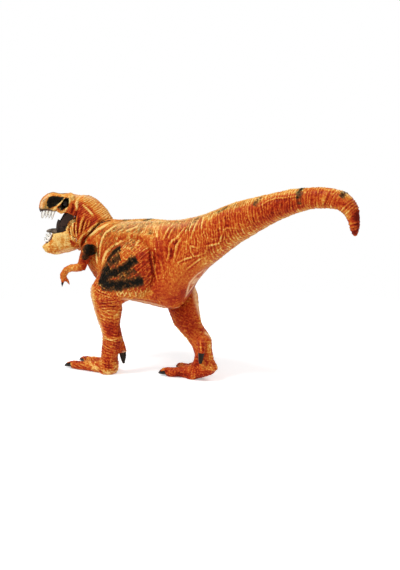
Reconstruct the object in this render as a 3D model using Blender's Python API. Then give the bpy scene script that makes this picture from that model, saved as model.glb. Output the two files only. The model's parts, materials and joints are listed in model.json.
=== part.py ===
"""A walking two-legged toy dinosaur in soft vinyl, with a turning neck, a hinged jaw and turning limbs.

It walks towards -Y, its left side is +X, up is +Z, and its soles stand on Z = 0.
"""

import math

import bmesh
import bpy
from mathutils import Matrix, Vector

# Driving dimensions, in metres.
HIP_HEIGHT = 0.088  # hip axis above the soles
CHEST_REACH = 0.058  # hip axis to the lowest point of the neck seam
TAIL_REACH = 0.183  # hip axis to the rearmost point of the tail
BODY_DEPTH = 0.068  # pelvic bulge to back
BODY_WIDTH = 0.035
NECK_SEAM_WIDTH = 0.026
HEAD_LENGTH = 0.030  # jaw hinge to snout tip
HEAD_HEIGHT = 0.030  # jaw hinge to nose ridge
HEAD_WIDTH = 0.023
THIGH_THICKNESS = 0.0112
ARM_REACH = 0.030  # shoulder axis to knuckles
ARM_THICKNESS = 0.0075
SEAM_GAP = 0.0003  # between any two mouldings
OVERRUN = 0.002  # how far a cutter passes the surface that it cuts
WELD_DISTANCE = 0.000008

# Joints inside the body.
HIP_BOSS_RADIUS = 0.0205
HIP_BOSS_DEPTH = 0.0052
HIP_PEG_RADIUS = 0.0045
HIP_PEG_REACH = 0.009  # length of the peg on each side of its seat
SHOULDER_BOSS_DEPTH = 0.0040
SHOULDER_PEG_RADIUS = 0.0018
SHOULDER_PEG_REACH = 0.0045
BOSS_SINK = 0.0010  # how far a boss runs into its limb
NECK_PEG_RADIUS = 0.0060
NECK_PEG_REACH = 0.0085
FLANGE_STEP = 0.0018  # how much wider a peg's retaining flange is than its shaft
FLANGE_LENGTH = 0.0024

# Mouth.
JAW_PIN_RADIUS = 0.0011
JAW_PIN_REACH = 0.0099  # middle of the head to the end of the pin
JAW_LOBE_RADIUS = 0.0060  # round cheek that the jaw turns on
JAW_ROOT_RADIUS = 0.0080
JAW_ROOT_WIDTH = 0.0120  # part of the jaw that sits between the cheeks
JAW_SLOT_GAP = 0.0006
LIP_WALL = 0.0014
LINING_WALL = 0.0014
MOUTH_LIFT = 0.0040  # how far the cutter of a mouth hollow stands out of the lips
WEB_WALL = 0.0014
WEB_REACH = 0.0158
WEB_ROOT = 0.0070
SKIN_REACH = 0.0150
SKIN_ROOT = 0.0084
PALATE_RISE = 0.0040  # depth of the mouth roof above the lip line
TOOTH_RADIUS = 0.00095
UPPER_TOOTH_LENGTH = 0.0062
LOWER_TOOTH_LENGTH = 0.0036
GUM_RADIUS = 0.0007
UPPER_GUM_RISE = 0.0009  # gum above the upper lip line
LOWER_GUM_DROP = 0.0003  # gum below the lower lip line
TOOTH_LEAN = 0.0018  # how far a tooth tip stands ahead of its root
TONGUE_WIDTH = 0.0076
EYE_RADIUS = 0.0026

# Angles.
HEAD_TURN = math.radians(45)  # head to its left
RIGHT_ARM_TURN = math.radians(38)  # right arm swung back at rest
WEB_TOP = math.radians(27)
WEB_FOOT = math.radians(-36)
JAW_ROOT_LOW = math.radians(-70)
JAW_ROOT_HIGH = math.radians(62)
SKIN_LOW = math.radians(19)
SKIN_HIGH = math.radians(84)
JAW_SWING = math.radians(32)  # how far the jaw closes
PALATE_LOW = math.radians(8)
PALATE_HIGH = math.radians(100)
SMOOTH_ANGLE = math.radians(40)

# Counts and powers.
BODY_SIDES = 28
HEAD_SIDES = 24
LEG_SIDES = 18
ARM_SIDES = 12
TOE_SIDES = 10
ROUND_SIDES = 24
TOOTH_SIDES = 6
GUM_SIDES = 8
ARC_STEPS = 12
UPPER_TEETH = 12
LOWER_TEETH = 8
BODY_POWER = 2.4  # 2 is an ellipse, more is squarer
HEAD_POWER = 2.8
LIMB_POWER = 2.2
SLAB_POWER = 9
TURN_POWER = 2  # how late the neck turns to the head's direction

# Proportions.
TRUNK_EGG_SHARE = 0.10  # how much narrower a body rib is at the top than at the bottom
LENS_SHARE = 1.40  # how gently a thigh rises from its rim
CHEEK_SHARE = 0.93
MOUTH_FRONT_SHARE = 0.915
EYE_SINK_SHARE = 0.70
TROUGH_SHARE = 0.32
UPPER_TEETH_START_SHARE = 0.56
LOWER_TEETH_START_SHARE = 0.66
END_SHARE = 0.10  # how far the ends of a lining are drawn in from its hollow
TOE_END_SHARE = 0.75  # end of the flesh between a claw's root and its tip
CLAW_SINK_SHARE = 0.30
CLAW_ARCH_SHARE = 0.30
CLAW_BEND_SHARE = 0.50
CLAW_RADIUS_SHARES = (0.66, 0.80, 0.62)
TOOTH_RADIUS_SHARES = (0.80, 1, 0.62)
TOOTH_LENGTH_SHARES = (0.02, 0.28, 0.66)

# Ribs of the body: top y, z and bottom y, z from the hip axis, as shares of the reach of that end and of
# BODY_DEPTH, then the half width as a share of half BODY_WIDTH.
CHEST_RIB_SHARES = [
    (-0.621, 0.491, -1.005, 0.093, 0.743),
    (-0.448, 0.487, -0.895, -0.080, 0.857),
    (-0.276, 0.500, -0.735, -0.240, 0.949),
    (-0.103, 0.515, -0.483, -0.346, 0.994),
    (0.069, 0.529, -0.190, -0.434, 0.994),
    (0.224, 0.529, 0.138, -0.449, 0.994),
]
TAIL_RIB_SHARES = [
    (0.109, 0.529, 0.120, -0.471, 0.971),
    (0.137, 0.531, 0.175, -0.463, 0.949),
    (0.164, 0.535, 0.213, -0.338, 0.926),
    (0.197, 0.549, 0.251, -0.169, 0.903),
    (0.240, 0.571, 0.311, 0.007, 0.869),
    (0.317, 0.625, 0.402, 0.197, 0.811),
    (0.393, 0.710, 0.470, 0.331, 0.743),
    (0.470, 0.787, 0.541, 0.441, 0.674),
    (0.546, 0.838, 0.607, 0.544, 0.606),
    (0.623, 0.890, 0.672, 0.631, 0.537),
    (0.699, 0.941, 0.735, 0.700, 0.474),
    (0.770, 0.971, 0.792, 0.749, 0.417),
    (0.836, 0.985, 0.844, 0.768, 0.371),
    (0.891, 0.978, 0.885, 0.775, 0.337),
    (0.940, 0.949, 0.913, 0.769, 0.309),
    (0.973, 0.882, 0.934, 0.740, 0.286),
    (0.992, 0.804, 0.949, 0.699, 0.263),
    (1.000, 0.706, 0.958, 0.647, 0.240),
    (1.000, 0.618, 0.966, 0.582, 0.206),
    (0.996, 0.549, 0.973, 0.529, 0.137),
]
TAIL_TIP_SHARES = (0.985, 0.500)

# Ribs of a leg: front y, z and back y, z from the hip axis as shares of HIP_HEIGHT, then the inner and the
# outer face from the flank as shares of THIGH_THICKNESS.
LEFT_LEG_SHARES = [
    (0.022, 0.256, 0.133, 0.244, 0, 0.152),
    (-0.067, 0.228, 0.211, 0.200, 0, 0.464),
    (-0.156, 0.167, 0.267, 0.122, 0, 0.777),
    (-0.233, 0.089, 0.278, 0.011, 0, 0.955),
    (-0.294, 0, 0.244, -0.100, 0, 1),
    (-0.333, -0.072, 0.167, -0.194, 0, 0.955),
    (-0.383, -0.139, 0.067, -0.267, 0, 0.866),
    (-0.411, -0.211, -0.033, -0.311, -0.25, 0.804),
    (-0.418, -0.278, -0.095, -0.339, -0.518, 0.759),
    (-0.405, -0.367, -0.105, -0.378, -0.741, 0.688),
    (-0.382, -0.461, -0.130, -0.456, -0.786, 0.554),
    (-0.358, -0.539, -0.155, -0.533, -0.786, 0.420),
    (-0.332, -0.600, -0.148, -0.583, -0.786, 0.375),
    (-0.325, -0.661, -0.130, -0.650, -0.804, 0.330),
    (-0.335, -0.722, -0.150, -0.711, -0.786, 0.241),
    (-0.350, -0.778, -0.180, -0.783, -0.786, 0.196),
    (-0.348, -0.844, -0.200, -0.850, -0.875, 0.241),
    (-0.380, -0.911, -0.205, -0.911, -1.098, 0.286),
    (-0.386, -0.967, -0.222, -0.961, -1.188, 0.330),
    (-0.363, -1.009, -0.230, -1.009, -0.964, 0.107),
]
RIGHT_LEG_SHARES = [
    (-0.022, 0.256, 0.089, 0.250, 0, 0.152),
    (-0.122, 0.200, 0.167, 0.222, 0, 0.464),
    (-0.200, 0.111, 0.233, 0.167, 0, 0.777),
    (-0.233, 0, 0.289, 0.089, 0, 0.955),
    (-0.211, -0.122, 0.339, 0, 0, 1),
    (-0.122, -0.244, 0.372, -0.094, 0, 0.955),
    (-0.011, -0.339, 0.400, -0.189, 0, 0.866),
    (0.078, -0.406, 0.411, -0.267, -0.25, 0.777),
    (0.139, -0.478, 0.428, -0.344, -0.518, 0.688),
    (0.200, -0.550, 0.456, -0.433, -0.696, 0.554),
    (0.290, -0.611, 0.478, -0.506, -0.741, 0.420),
    (0.365, -0.661, 0.537, -0.561, -0.786, 0.330),
    (0.415, -0.722, 0.597, -0.622, -0.804, 0.286),
    (0.445, -0.783, 0.602, -0.722, -0.830, 0.241),
    (0.435, -0.833, 0.620, -0.811, -0.880, 0.286),
    (0.385, -0.900, 0.665, -0.885, -0.940, 0.375),
    (0.350, -0.956, 0.620, -0.940, -1.000, 0.320),
    (0.367, -1.009, 0.450, -1.009, -0.940, 0.107),
]

# Toes: x from the midline, y from the hip axis, z above the soles and radius, as shares of HIP_HEIGHT, with
# the tip of the claw last.
LEFT_TOE_SHARES = {
    "outer": [(0.160, -0.320, 0.056, 0.060), (0.180, -0.456, 0.046, 0.050), (0.196, -0.570, 0.040, 0.043),
              (0.206, -0.668, 0.037, 0.038), (0.226, -0.770, 0.014, 0)],
    "middle": [(0.115, -0.320, 0.060, 0.062), (0.075, -0.450, 0.052, 0.053), (0.040, -0.570, 0.045, 0.047),
               (0.018, -0.665, 0.040, 0.040), (0, -0.790, 0.022, 0)],
    "inner": [(0.085, -0.300, 0.060, 0.058), (0.025, -0.390, 0.050, 0.050), (-0.020, -0.470, 0.043, 0.044),
              (-0.048, -0.530, 0.040, 0.038), (-0.070, -0.610, 0.022, 0)],
    "spur": [(0.100, -0.245, 0.370, 0.040), (0.106, -0.212, 0.320, 0.042), (0.100, -0.190, 0.254, 0.040),
             (0.094, -0.178, 0.205, 0.038), (0.094, -0.168, 0.095, 0)],
}
RIGHT_TOE_SHARES = {
    "inner": [(-0.150, 0.430, 0.060, 0.062), (-0.110, 0.310, 0.046, 0.049), (-0.066, 0.205, 0.040, 0.042),
              (-0.056, 0.098, 0.014, 0)],
    "middle": [(-0.180, 0.420, 0.058, 0.060), (-0.222, 0.300, 0.048, 0.050), (-0.262, 0.212, 0.043, 0.043),
               (-0.308, 0.125, 0.022, 0)],
    "outer": [(-0.220, 0.430, 0.052, 0.055), (-0.290, 0.350, 0.044, 0.046), (-0.335, 0.280, 0.040, 0.038),
              (-0.375, 0.195, 0.022, 0)],
    "spur": [(-0.115, 0.520, 0.380, 0.032), (-0.088, 0.558, 0.333, 0.034), (-0.070, 0.572, 0.290, 0.032),
             (-0.064, 0.572, 0.262, 0.030), (-0.060, 0.562, 0.165, 0)],
}

# The head is laid out from the jaw hinge: forward as a share of HEAD_LENGTH, up as a share of HEAD_HEIGHT and
# sideways as a share of half HEAD_WIDTH.
# Jaw hinge from the hip axis: x of NECK_SEAM_WIDTH, y of CHEST_REACH and z of BODY_DEPTH.
HINGE_SHARES = (0.346, -1.050, 0.360)
SHOULDER_SHARES = (-0.690, 0.156)  # y of CHEST_REACH, z of BODY_DEPTH, from the hip axis
NECK_RIB_SHARES = [  # top forward, up, side and bottom forward, up, side, then half width
    (-0.600, 0.552, 0.680, -0.170, -0.610, -0.220, 1.090),
    (-0.300, 0.930, 0.174, -0.100, -0.593, -0.070, 1.090),
    (0.067, 0.855, 0, -0.027, -0.560, 0, 0.955),
]
SKULL_RIB_SHARES = [  # forward, top, lip, half width
    (-0.200, 0.860, 0.200, 0.960),
    (0.100, 0.925, 0.300, 1),
    (0.233, 0.943, 0.367, 0.980),
    (0.400, 0.935, 0.360, 0.910),
    (0.590, 0.980, 0.475, 0.800),
    (0.740, 0.935, 0.500, 0.710),
    (0.860, 0.845, 0.505, 0.610),
    (0.930, 0.740, 0.512, 0.470),
]
SKULL_TIP_SHARES = (0.972, 0.590)
JAW_RIB_SHARES = [  # lip forward, up, chin forward, up, half width
    (0.045, 0.133, 0.007, -0.553, 0.887),
    (0.300, 0.110, 0.200, -0.610, 0.896),
    (0.467, 0.050, 0.383, -0.655, 0.861),
    (0.620, 0.020, 0.527, -0.675, 0.800),
    (0.700, -0.170, 0.633, -0.670, 0.730),
    (0.773, -0.310, 0.743, -0.640, 0.643),
    (0.850, -0.395, 0.833, -0.580, 0.487),
]
JAW_TIP_SHARES = (0.910, -0.475)
BROW_SHARES = [(0.125, 0.860, 0.700), (0.100, 0.080, 0.260)]  # place, then size
SNOUT_PIT_SHARES = [(0.578, 0.745, 0.900), (0.188, 0.135, 0.290)]
EYE_PIT_SHARES = [(0.290, 0.690, 0.970), (0.100, 0.150, 0.290)]
TONGUE_SHARES = [  # forward, top, bottom, half width as a share of TONGUE_WIDTH
    (0.310, -0.020, -0.095, 0.360),
    (0.450, 0.010, -0.148, 0.500),
    (0.540, 0.020, -0.158, 0.500),
    (0.620, 0.020, -0.110, 0.470),
    (0.710, 0.005, -0.095, 0.340),
    (0.765, -0.020, -0.085, 0.190),
]
TONGUE_TIP_SHARES = (0.800, -0.052)

# Front y, z and back y, z from the shoulder axis as shares of ARM_REACH, then the outer face.
ARM_RIB_SHARES = [
    (-0.080, 0.190, 0.070, 0.200, 0.450),
    (-0.170, 0.080, 0.170, 0.120, 0.850),
    (-0.220, -0.080, 0.180, -0.010, 1),
    (-0.280, -0.260, 0.080, -0.190, 0.960),
    (-0.340, -0.430, -0.040, -0.380, 0.860),
    (-0.330, -0.590, -0.140, -0.570, 0.620),
]
ARM_PATH_SHARES = [  # y, z from the shoulder axis and radius, as shares of ARM_REACH
    (-0.190, -0.470, 0.115),
    (-0.370, -0.510, 0.108),
    (-0.540, -0.530, 0.100),
    (-0.705, -0.600, 0.092),
    (-0.815, -0.740, 0.094),
    (-0.845, -0.860, 0.072),
]
FINGER_SHARES = [  # y, z at the claw tip as shares of ARM_REACH, sideways as a share of ARM_THICKNESS
    (-0.800, -1.080, 0.320),
    (-0.650, -1.030, -0.300),
]
FINGER_RADIUS_SHARE = 0.052
SHOULDER_BOSS_SHARE = 0.193  # radius of the shoulder boss as a share of ARM_REACH

SKIN_COLOUR = (0.62, 0.17, 0.025)
JAW_COLOUR = (0.75, 0.36, 0.08)
MOUTH_COLOUR = (0.035, 0.018, 0.022)
TONGUE_COLOUR = (0.10, 0.05, 0.05)
TOOTH_COLOUR = (0.86, 0.84, 0.76)
EYE_COLOUR = (0.02, 0.018, 0.015)
PEG_COLOUR = (0.05, 0.05, 0.05)
PIN_COLOUR = (0.55, 0.55, 0.57)
VINYL_ROUGHNESS = 0.42
LINING_ROUGHNESS = 0.60
GLOSS_ROUGHNESS = 0.15
PIN_ROUGHNESS = 0.30


def clear_scene():
    for obj in list(bpy.data.objects):
        bpy.data.objects.remove(obj, do_unlink=True)


def signed_power(value, power):
    return math.copysign(abs(value) ** power, value)


def add_object(name, bm):
    """Makes the object of a bmesh whose faces are turned outwards."""
    bmesh.ops.recalc_face_normals(bm, faces=bm.faces)
    mesh = bpy.data.meshes.new(name)
    bm.to_mesh(mesh)
    bm.free()
    obj = bpy.data.objects.new(name, mesh)
    bpy.context.scene.collection.objects.link(obj)
    return obj


def rib(top, bottom, side, half_width, power=2.0, egg_share=0.0, sides=ROUND_SIDES):
    """The points of one closed section between a top and a bottom point."""
    centre = (top + bottom) / 2
    rise = (top - bottom) / 2
    points = []
    for i in range(sides):
        angle = math.tau * i / sides
        up = signed_power(math.cos(angle), 2 / power)
        out = signed_power(math.sin(angle), 2 / power)
        width = half_width * (1 - egg_share * math.cos(angle))
        points.append(centre + rise * up + side * (out * width))
    return points


def loft(name, ribs, start=None, end=None):
    """Skins a list of sections of equal counts, closed by a point or a flat face at each end."""
    bm = bmesh.new()
    rows = [[bm.verts.new(point) for point in points] for points in ribs]
    count = len(rows[0])
    for near, far in zip(rows, rows[1:]):
        for i in range(count):
            bm.faces.new((near[i], near[(i + 1) % count], far[(i + 1) % count], far[i]))
    for row, point in ((rows[0], start), (rows[-1], end)):
        if point is None:
            bm.faces.new(row)
            continue
        tip = bm.verts.new(point)
        for i in range(count):
            bm.faces.new((row[i], row[(i + 1) % count], tip))
    return add_object(name, bm)


def frame_of(axis):
    """Two directions square to an axis."""
    axis = axis.normalized()
    helper = Vector((0, 0, 1)) if abs(axis.z) < abs(axis.x) + abs(axis.y) else Vector((0, 1, 0))
    side = axis.cross(helper).normalized()
    return side, side.cross(axis).normalized()


def round_rib(centre, axis, radius, sides=ROUND_SIDES):
    side, up = frame_of(axis)
    return rib(centre + up * radius, centre - up * radius, side, radius, sides=sides)


def rod(name, centre, axis, stations, sides=ROUND_SIDES):
    """A turned solid: stations are (distance along the axis, radius)."""
    axis = axis.normalized()
    return loft(name, [round_rib(centre + axis * along, axis, radius, sides) for along, radius in stations])


def tube(name, path, radii, sides, tip=None):
    """A round limb through the points of a path, without twist."""
    ribs = []
    side = frame_of(path[1] - path[0])[0]
    for i, (point, radius) in enumerate(zip(path, radii)):
        ahead = (path[min(i + 1, len(path) - 1)] - path[max(i - 1, 0)]).normalized()
        side = (side - ahead * side.dot(ahead)).normalized()
        up = side.cross(ahead)
        ribs.append(rib(point + up * radius, point - up * radius, side, radius, sides=sides))
    return loft(name, ribs, end=tip)


def blob(name, centre, size, axes):
    """A round lump with its own half size along each of three axes."""
    bm = bmesh.new()
    bmesh.ops.create_icosphere(bm, subdivisions=2, radius=1)
    turn = Matrix((axes[0] * size[0], axes[1] * size[1], axes[2] * size[2])).transposed()
    for vert in bm.verts:
        vert.co = centre + turn @ vert.co
    return add_object(name, bm)


def combine(target, others, operation):
    """Joins solids to a target or cuts them from it one by one, and removes them."""
    for other in others:
        modifier = target.modifiers.new(operation.lower(), "BOOLEAN")
        modifier.operation = operation
        modifier.object = other
        modifier.solver = "EXACT"
        bpy.context.view_layer.update()
        shaped = target.evaluated_get(bpy.context.evaluated_depsgraph_get())
        target.data = bpy.data.meshes.new_from_object(shaped)
        target.modifiers.clear()
        bpy.data.objects.remove(other, do_unlink=True)
        weld(target)
    return target


def weld(obj):
    """Merges the slivers that a cut leaves, and splits its faces into triangles."""
    bm = bmesh.new()
    bm.from_mesh(obj.data)
    bmesh.ops.remove_doubles(bm, verts=bm.verts, dist=WELD_DISTANCE)
    bmesh.ops.dissolve_degenerate(bm, edges=bm.edges, dist=WELD_DISTANCE)
    bmesh.ops.triangulate(bm, faces=bm.faces)
    bm.to_mesh(obj.data)
    bm.free()


def join(target, *others):
    return combine(target, others, "UNION")


def cut(target, *others):
    return combine(target, others, "DIFFERENCE")


def keep_inside(target, other):
    return combine(target, (other,), "INTERSECT")


# Places that several pieces share.
X_AXIS = Vector((1, 0, 0))
UP = Vector((0, 0, 1))
HIP = Vector((0, 0, HIP_HEIGHT))
FLANK = BODY_WIDTH / 2 + SEAM_GAP
HEAD_HALF = HEAD_WIDTH / 2
ROOT_HALF = JAW_ROOT_WIDTH / 2
SHOULDER_BOSS_RADIUS = SHOULDER_BOSS_SHARE * ARM_REACH
WEB_PLACE = ROOT_HALF - WEB_WALL - SEAM_GAP
AHEAD = Vector((math.sin(HEAD_TURN), -math.cos(HEAD_TURN), 0))
HEAD_LEFT = Vector((math.cos(HEAD_TURN), math.sin(HEAD_TURN), 0))


def body_point(y_share, z_share, reach):
    return HIP + Vector((0, y_share * reach, z_share * BODY_DEPTH))


SEAM_TOP = body_point(CHEST_RIB_SHARES[0][0], CHEST_RIB_SHARES[0][1], CHEST_REACH)
SEAM_BOTTOM = body_point(CHEST_RIB_SHARES[0][2], CHEST_RIB_SHARES[0][3], CHEST_REACH)
SEAM_CENTRE = (SEAM_TOP + SEAM_BOTTOM) / 2
NECK_AXIS = X_AXIS.cross(SEAM_TOP - SEAM_BOTTOM).normalized()
SHOULDER = body_point(SHOULDER_SHARES[0], SHOULDER_SHARES[1], CHEST_REACH)
HINGE = body_point(HINGE_SHARES[1], HINGE_SHARES[2], CHEST_REACH) + X_AXIS * (HINGE_SHARES[0] * NECK_SEAM_WIDTH)


def head_point(forward, up, side=0.0):
    """A place on the head from its shares."""
    return HINGE + AHEAD * (forward * HEAD_LENGTH) + UP * (up * HEAD_HEIGHT) + HEAD_LEFT * (side * HEAD_HALF)


def make_frame(name, place, parent=None):
    """An empty that carries what turns about its place."""
    frame = bpy.data.objects.new(name, None)
    frame.empty_display_size = HEAD_WIDTH
    bpy.context.scene.collection.objects.link(frame)
    frame.location = place
    if parent:
        frame.location = place - parent["place"]
        frame.parent = parent["frame"]
    return {"frame": frame, "place": place.copy()}


def dress(obj, name, colour, roughness, metallic=0.0):
    """A plain finish with the colour of this piece."""
    finish = bpy.data.materials.get(name) or bpy.data.materials.new(name)
    finish.use_nodes = True
    shader = finish.node_tree.nodes["Principled BSDF"]
    shader.inputs["Base Color"].default_value = (*colour, 1)
    shader.inputs["Roughness"].default_value = roughness
    shader.inputs["Metallic"].default_value = metallic
    obj.data.materials.clear()
    obj.data.materials.append(finish)
    for face in obj.data.polygons:
        face.use_smooth = True
    obj.data.set_sharp_from_angle(angle=SMOOTH_ANGLE)


def hang(obj, joint, name, colour, roughness, metallic=0.0):
    """Dresses a finished piece and hands it to the frame of its joint, where its origin then lies."""
    dress(obj, name, colour, roughness, metallic)
    obj.data.transform(Matrix.Translation(-joint["place"]))
    obj.parent = joint["frame"]


def peg_stations(radius, reach, grow=0.0):
    """A peg with a retaining flange at its inner end, or its socket when it grows by a clearance."""
    flange = radius + FLANGE_STEP + grow
    shoulder = FLANGE_LENGTH + grow - reach
    shaft = radius + grow
    return [(-reach - grow, flange), (shoulder, flange), (shoulder, shaft), (reach + grow, shaft)]


def make_peg(name, centre, axis, radius, reach):
    return rod(name, centre, axis, peg_stations(radius, reach))


def body_ribs():
    ribs = []
    for shares, reach in ((CHEST_RIB_SHARES, CHEST_REACH), (TAIL_RIB_SHARES, TAIL_REACH)):
        for top_y, top_z, bottom_y, bottom_z, width in shares:
            top = body_point(top_y, top_z, reach)
            bottom = body_point(bottom_y, bottom_z, reach)
            half = width * BODY_WIDTH / 2
            ribs.append(rib(top, bottom, X_AXIS, half, BODY_POWER, TRUNK_EGG_SHARE, BODY_SIDES))
    return ribs


def hip_seat(side):
    return Vector((side * (FLANK - HIP_BOSS_DEPTH), 0, HIP_HEIGHT))


def shoulder_seat(side):
    return Vector((side * (FLANK - SHOULDER_BOSS_DEPTH), SHOULDER.y, SHOULDER.z))


def make_torso():
    torso = loft("torso", body_ribs(), end=body_point(*TAIL_TIP_SHARES, TAIL_REACH))
    sockets = []
    for side in (-1, 1):
        outward = X_AXIS * side
        for name, seat, boss, peg, reach in (
            ("hip", hip_seat(side), HIP_BOSS_RADIUS, HIP_PEG_RADIUS, HIP_PEG_REACH),
            ("shoulder", shoulder_seat(side), SHOULDER_BOSS_RADIUS, SHOULDER_PEG_RADIUS, SHOULDER_PEG_REACH),
        ):
            room = boss + SEAM_GAP
            bed = [(0, room), (BODY_WIDTH, room)]
            sockets.append(rod(f"{name}_bed", seat - outward * SEAM_GAP, outward, bed))
            sockets.append(rod(f"{name}_socket", seat, outward, peg_stations(peg, reach, SEAM_GAP)))
    stations = peg_stations(NECK_PEG_RADIUS, NECK_PEG_REACH, SEAM_GAP)
    sockets.append(rod("neck_socket", SEAM_CENTRE, NECK_AXIS, stations))
    return cut(torso, *sockets)


def neck_ribs():
    """Sections from the seam to the cheeks, turning from the body's side to the head's."""
    gap = NECK_AXIS * SEAM_GAP
    ribs = [rib(SEAM_TOP + gap, SEAM_BOTTOM + gap, X_AXIS, NECK_SEAM_WIDTH / 2, HEAD_POWER, sides=HEAD_SIDES)]
    steps = len(NECK_RIB_SHARES)
    for i, (top_f, top_u, top_s, low_f, low_u, low_s, width) in enumerate(NECK_RIB_SHARES):
        turned = ((i + 1) / steps) ** TURN_POWER
        side = X_AXIS.lerp(HEAD_LEFT, turned).normalized()
        top = head_point(top_f, top_u, top_s)
        bottom = head_point(low_f, low_u, low_s)
        ribs.append(rib(top, bottom, side, width * HEAD_HALF, HEAD_POWER, sides=HEAD_SIDES))
    return ribs


def skull_ribs():
    ribs = []
    for forward, top, lip, width in SKULL_RIB_SHARES:
        high = head_point(forward, top)
        low = head_point(forward, lip)
        ribs.append(rib(high, low, HEAD_LEFT, width * HEAD_HALF, HEAD_POWER, sides=HEAD_SIDES))
    return ribs


def between(near, far, share):
    return tuple(a + (b - a) * share for a, b in zip(near, far))


def roof_line():
    """The rows of the skull's lip as far as the front of the mouth."""
    rows = [row for row in SKULL_RIB_SHARES if row[0] < MOUTH_FRONT_SHARE]
    last = rows[-1]
    ahead = SKULL_RIB_SHARES[len(rows)]
    rows.append(between(last, ahead, (MOUTH_FRONT_SHARE - last[0]) / (ahead[0] - last[0])))
    return rows


def roof_ribs(inset, high, low, power=HEAD_POWER):
    """Sections inside the upper lips, between two heights from the lip line."""
    ribs = []
    for forward, _, lip, width in roof_line():
        line = head_point(forward, lip)
        half = width * HEAD_HALF - inset
        ribs.append(rib(line + UP * high, line + UP * low, HEAD_LEFT, half, power, sides=HEAD_SIDES))
    return ribs


def trough_ribs(inset, share, high, low, power=HEAD_POWER):
    """Sections inside the lower lips, from above the lip line down to a share of the jaw's depth."""
    ribs = []
    for lip_f, lip_u, chin_f, chin_u, width in JAW_RIB_SHARES[1:]:
        lip = head_point(lip_f, lip_u)
        down = head_point(chin_f, chin_u) - lip
        floor = lip + down * share
        up = -down.normalized()
        top = (lip if high > low else floor) + up * high
        ribs.append(rib(top, floor + up * low, HEAD_LEFT, width * HEAD_HALF - inset, power, sides=HEAD_SIDES))
    return ribs


def draw_in(ribs):
    """Draws the two end sections towards their neighbours."""
    first = [a.lerp(b, END_SHARE) for a, b in zip(ribs[0], ribs[1])]
    last = [a.lerp(b, END_SHARE) for a, b in zip(ribs[-1], ribs[-2])]
    return [first, *ribs[1:-1], last]


def sector(name, radius, low, high, half_width, centre_side=0.0, inner=0.0):
    """A wedge about the jaw hinge between two angles, measured up from straight ahead."""
    arcs = [(radius, range(ARC_STEPS + 1))]
    outline = []
    if inner:
        arcs.append((inner, range(ARC_STEPS, -1, -1)))
    else:
        outline.append(HINGE.copy())
    for reach, order in arcs:
        for i in order:
            angle = low + (high - low) * i / ARC_STEPS
            outline.append(HINGE + AHEAD * (reach * math.cos(angle)) + UP * (reach * math.sin(angle)))
    bm = bmesh.new()
    rows = []
    for way in (-1, 1):
        shift = HEAD_LEFT * (centre_side + way * half_width)
        rows.append([bm.verts.new(point + shift) for point in outline])
    bm.faces.new(rows[0])
    bm.faces.new(rows[1])
    count = len(outline)
    for i in range(count):
        j = (i + 1) % count
        bm.faces.new((rows[0][i], rows[0][j], rows[1][j], rows[1][i]))
    return add_object(name, bm)


def pit(name, shares, side):
    place, size = shares
    centre = head_point(place[0], place[1], place[2] * side)
    lengths = (size[0] * HEAD_LENGTH, size[1] * HEAD_HEIGHT, size[2] * HEAD_HALF)
    return blob(name, centre, lengths, (AHEAD, UP, HEAD_LEFT))


def hinge_rod(name, radius, half_width):
    return rod(name, HINGE, HEAD_LEFT, [(-half_width, radius), (half_width, radius)])


def eye_ball(name, side, grow=0.0):
    place = EYE_PIT_SHARES[0]
    centre = head_point(place[0], place[1], place[2] * side * EYE_SINK_SHARE)
    radius = EYE_RADIUS + grow
    return blob(name, centre, (radius, radius, radius), (AHEAD, UP, HEAD_LEFT))


def make_head():
    head = loft("head", neck_ribs())
    skull = loft("skull", skull_ribs(), end=head_point(*SKULL_TIP_SHARES))
    cheeks = hinge_rod("cheeks", JAW_LOBE_RADIUS, HEAD_HALF * CHEEK_SHARE)
    join(head, skull, cheeks, *[pit("brow", BROW_SHARES, side) for side in (-1, 1)])
    slot = hinge_rod("slot", JAW_LOBE_RADIUS + JAW_SLOT_GAP, ROOT_HALF + SEAM_GAP)
    mouth = loft("mouth", roof_ribs(LIP_WALL, PALATE_RISE, -MOUTH_LIFT))
    hollows = [pit("snout_pit", SNOUT_PIT_SHARES, side) for side in (-1, 1)]
    hollows += [pit("eye_pit", EYE_PIT_SHARES, side) for side in (-1, 1)]
    hollows += [eye_ball("eye_seat", side, SEAM_GAP) for side in (-1, 1)]
    pin_hole = hinge_rod("pin_hole", JAW_PIN_RADIUS + SEAM_GAP, JAW_PIN_REACH + SEAM_GAP)
    bore = NECK_PEG_RADIUS + SEAM_GAP
    neck_hole = rod("neck_hole", SEAM_CENTRE, NECK_AXIS, [(-OVERRUN, bore), (NECK_PEG_REACH + SEAM_GAP, bore)])
    cut(head, slot, mouth)
    join(head, *[cheek_skin(side) for side in (-1, 1)])
    return cut(head, *hollows, pin_hole, neck_hole)


def cheek_skin(side, grow=0.0, swing=0.0):
    """The skin at the corner of the mouth, outside the mouth floor's web, or the room that it sweeps."""
    place = WEB_PLACE + WEB_WALL + SEAM_GAP
    low = SKIN_LOW - swing - grow / SKIN_ROOT
    half = WEB_WALL / 2 + grow
    return sector("skin", SKIN_REACH + grow, low, SKIN_HIGH, half, place * side, SKIN_ROOT - grow)


def make_palate():
    """A lining under the mouth roof, narrow enough for the mouth floor's webs to pass beside it."""
    ribs = roof_ribs(LIP_WALL + SEAM_GAP, PALATE_RISE - SEAM_GAP, -MOUTH_LIFT)
    palate = loft("palate", draw_in(ribs))
    room = roof_ribs(-OVERRUN, PALATE_RISE - LINING_WALL, -MOUTH_LIFT - OVERRUN, SLAB_POWER)
    cut(palate, loft("palate_room", room))
    half = WEB_PLACE - WEB_WALL / 2 - SEAM_GAP
    return keep_inside(palate, sector("palate_span", HEAD_LENGTH + OVERRUN, PALATE_LOW, PALATE_HIGH, half))


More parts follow.
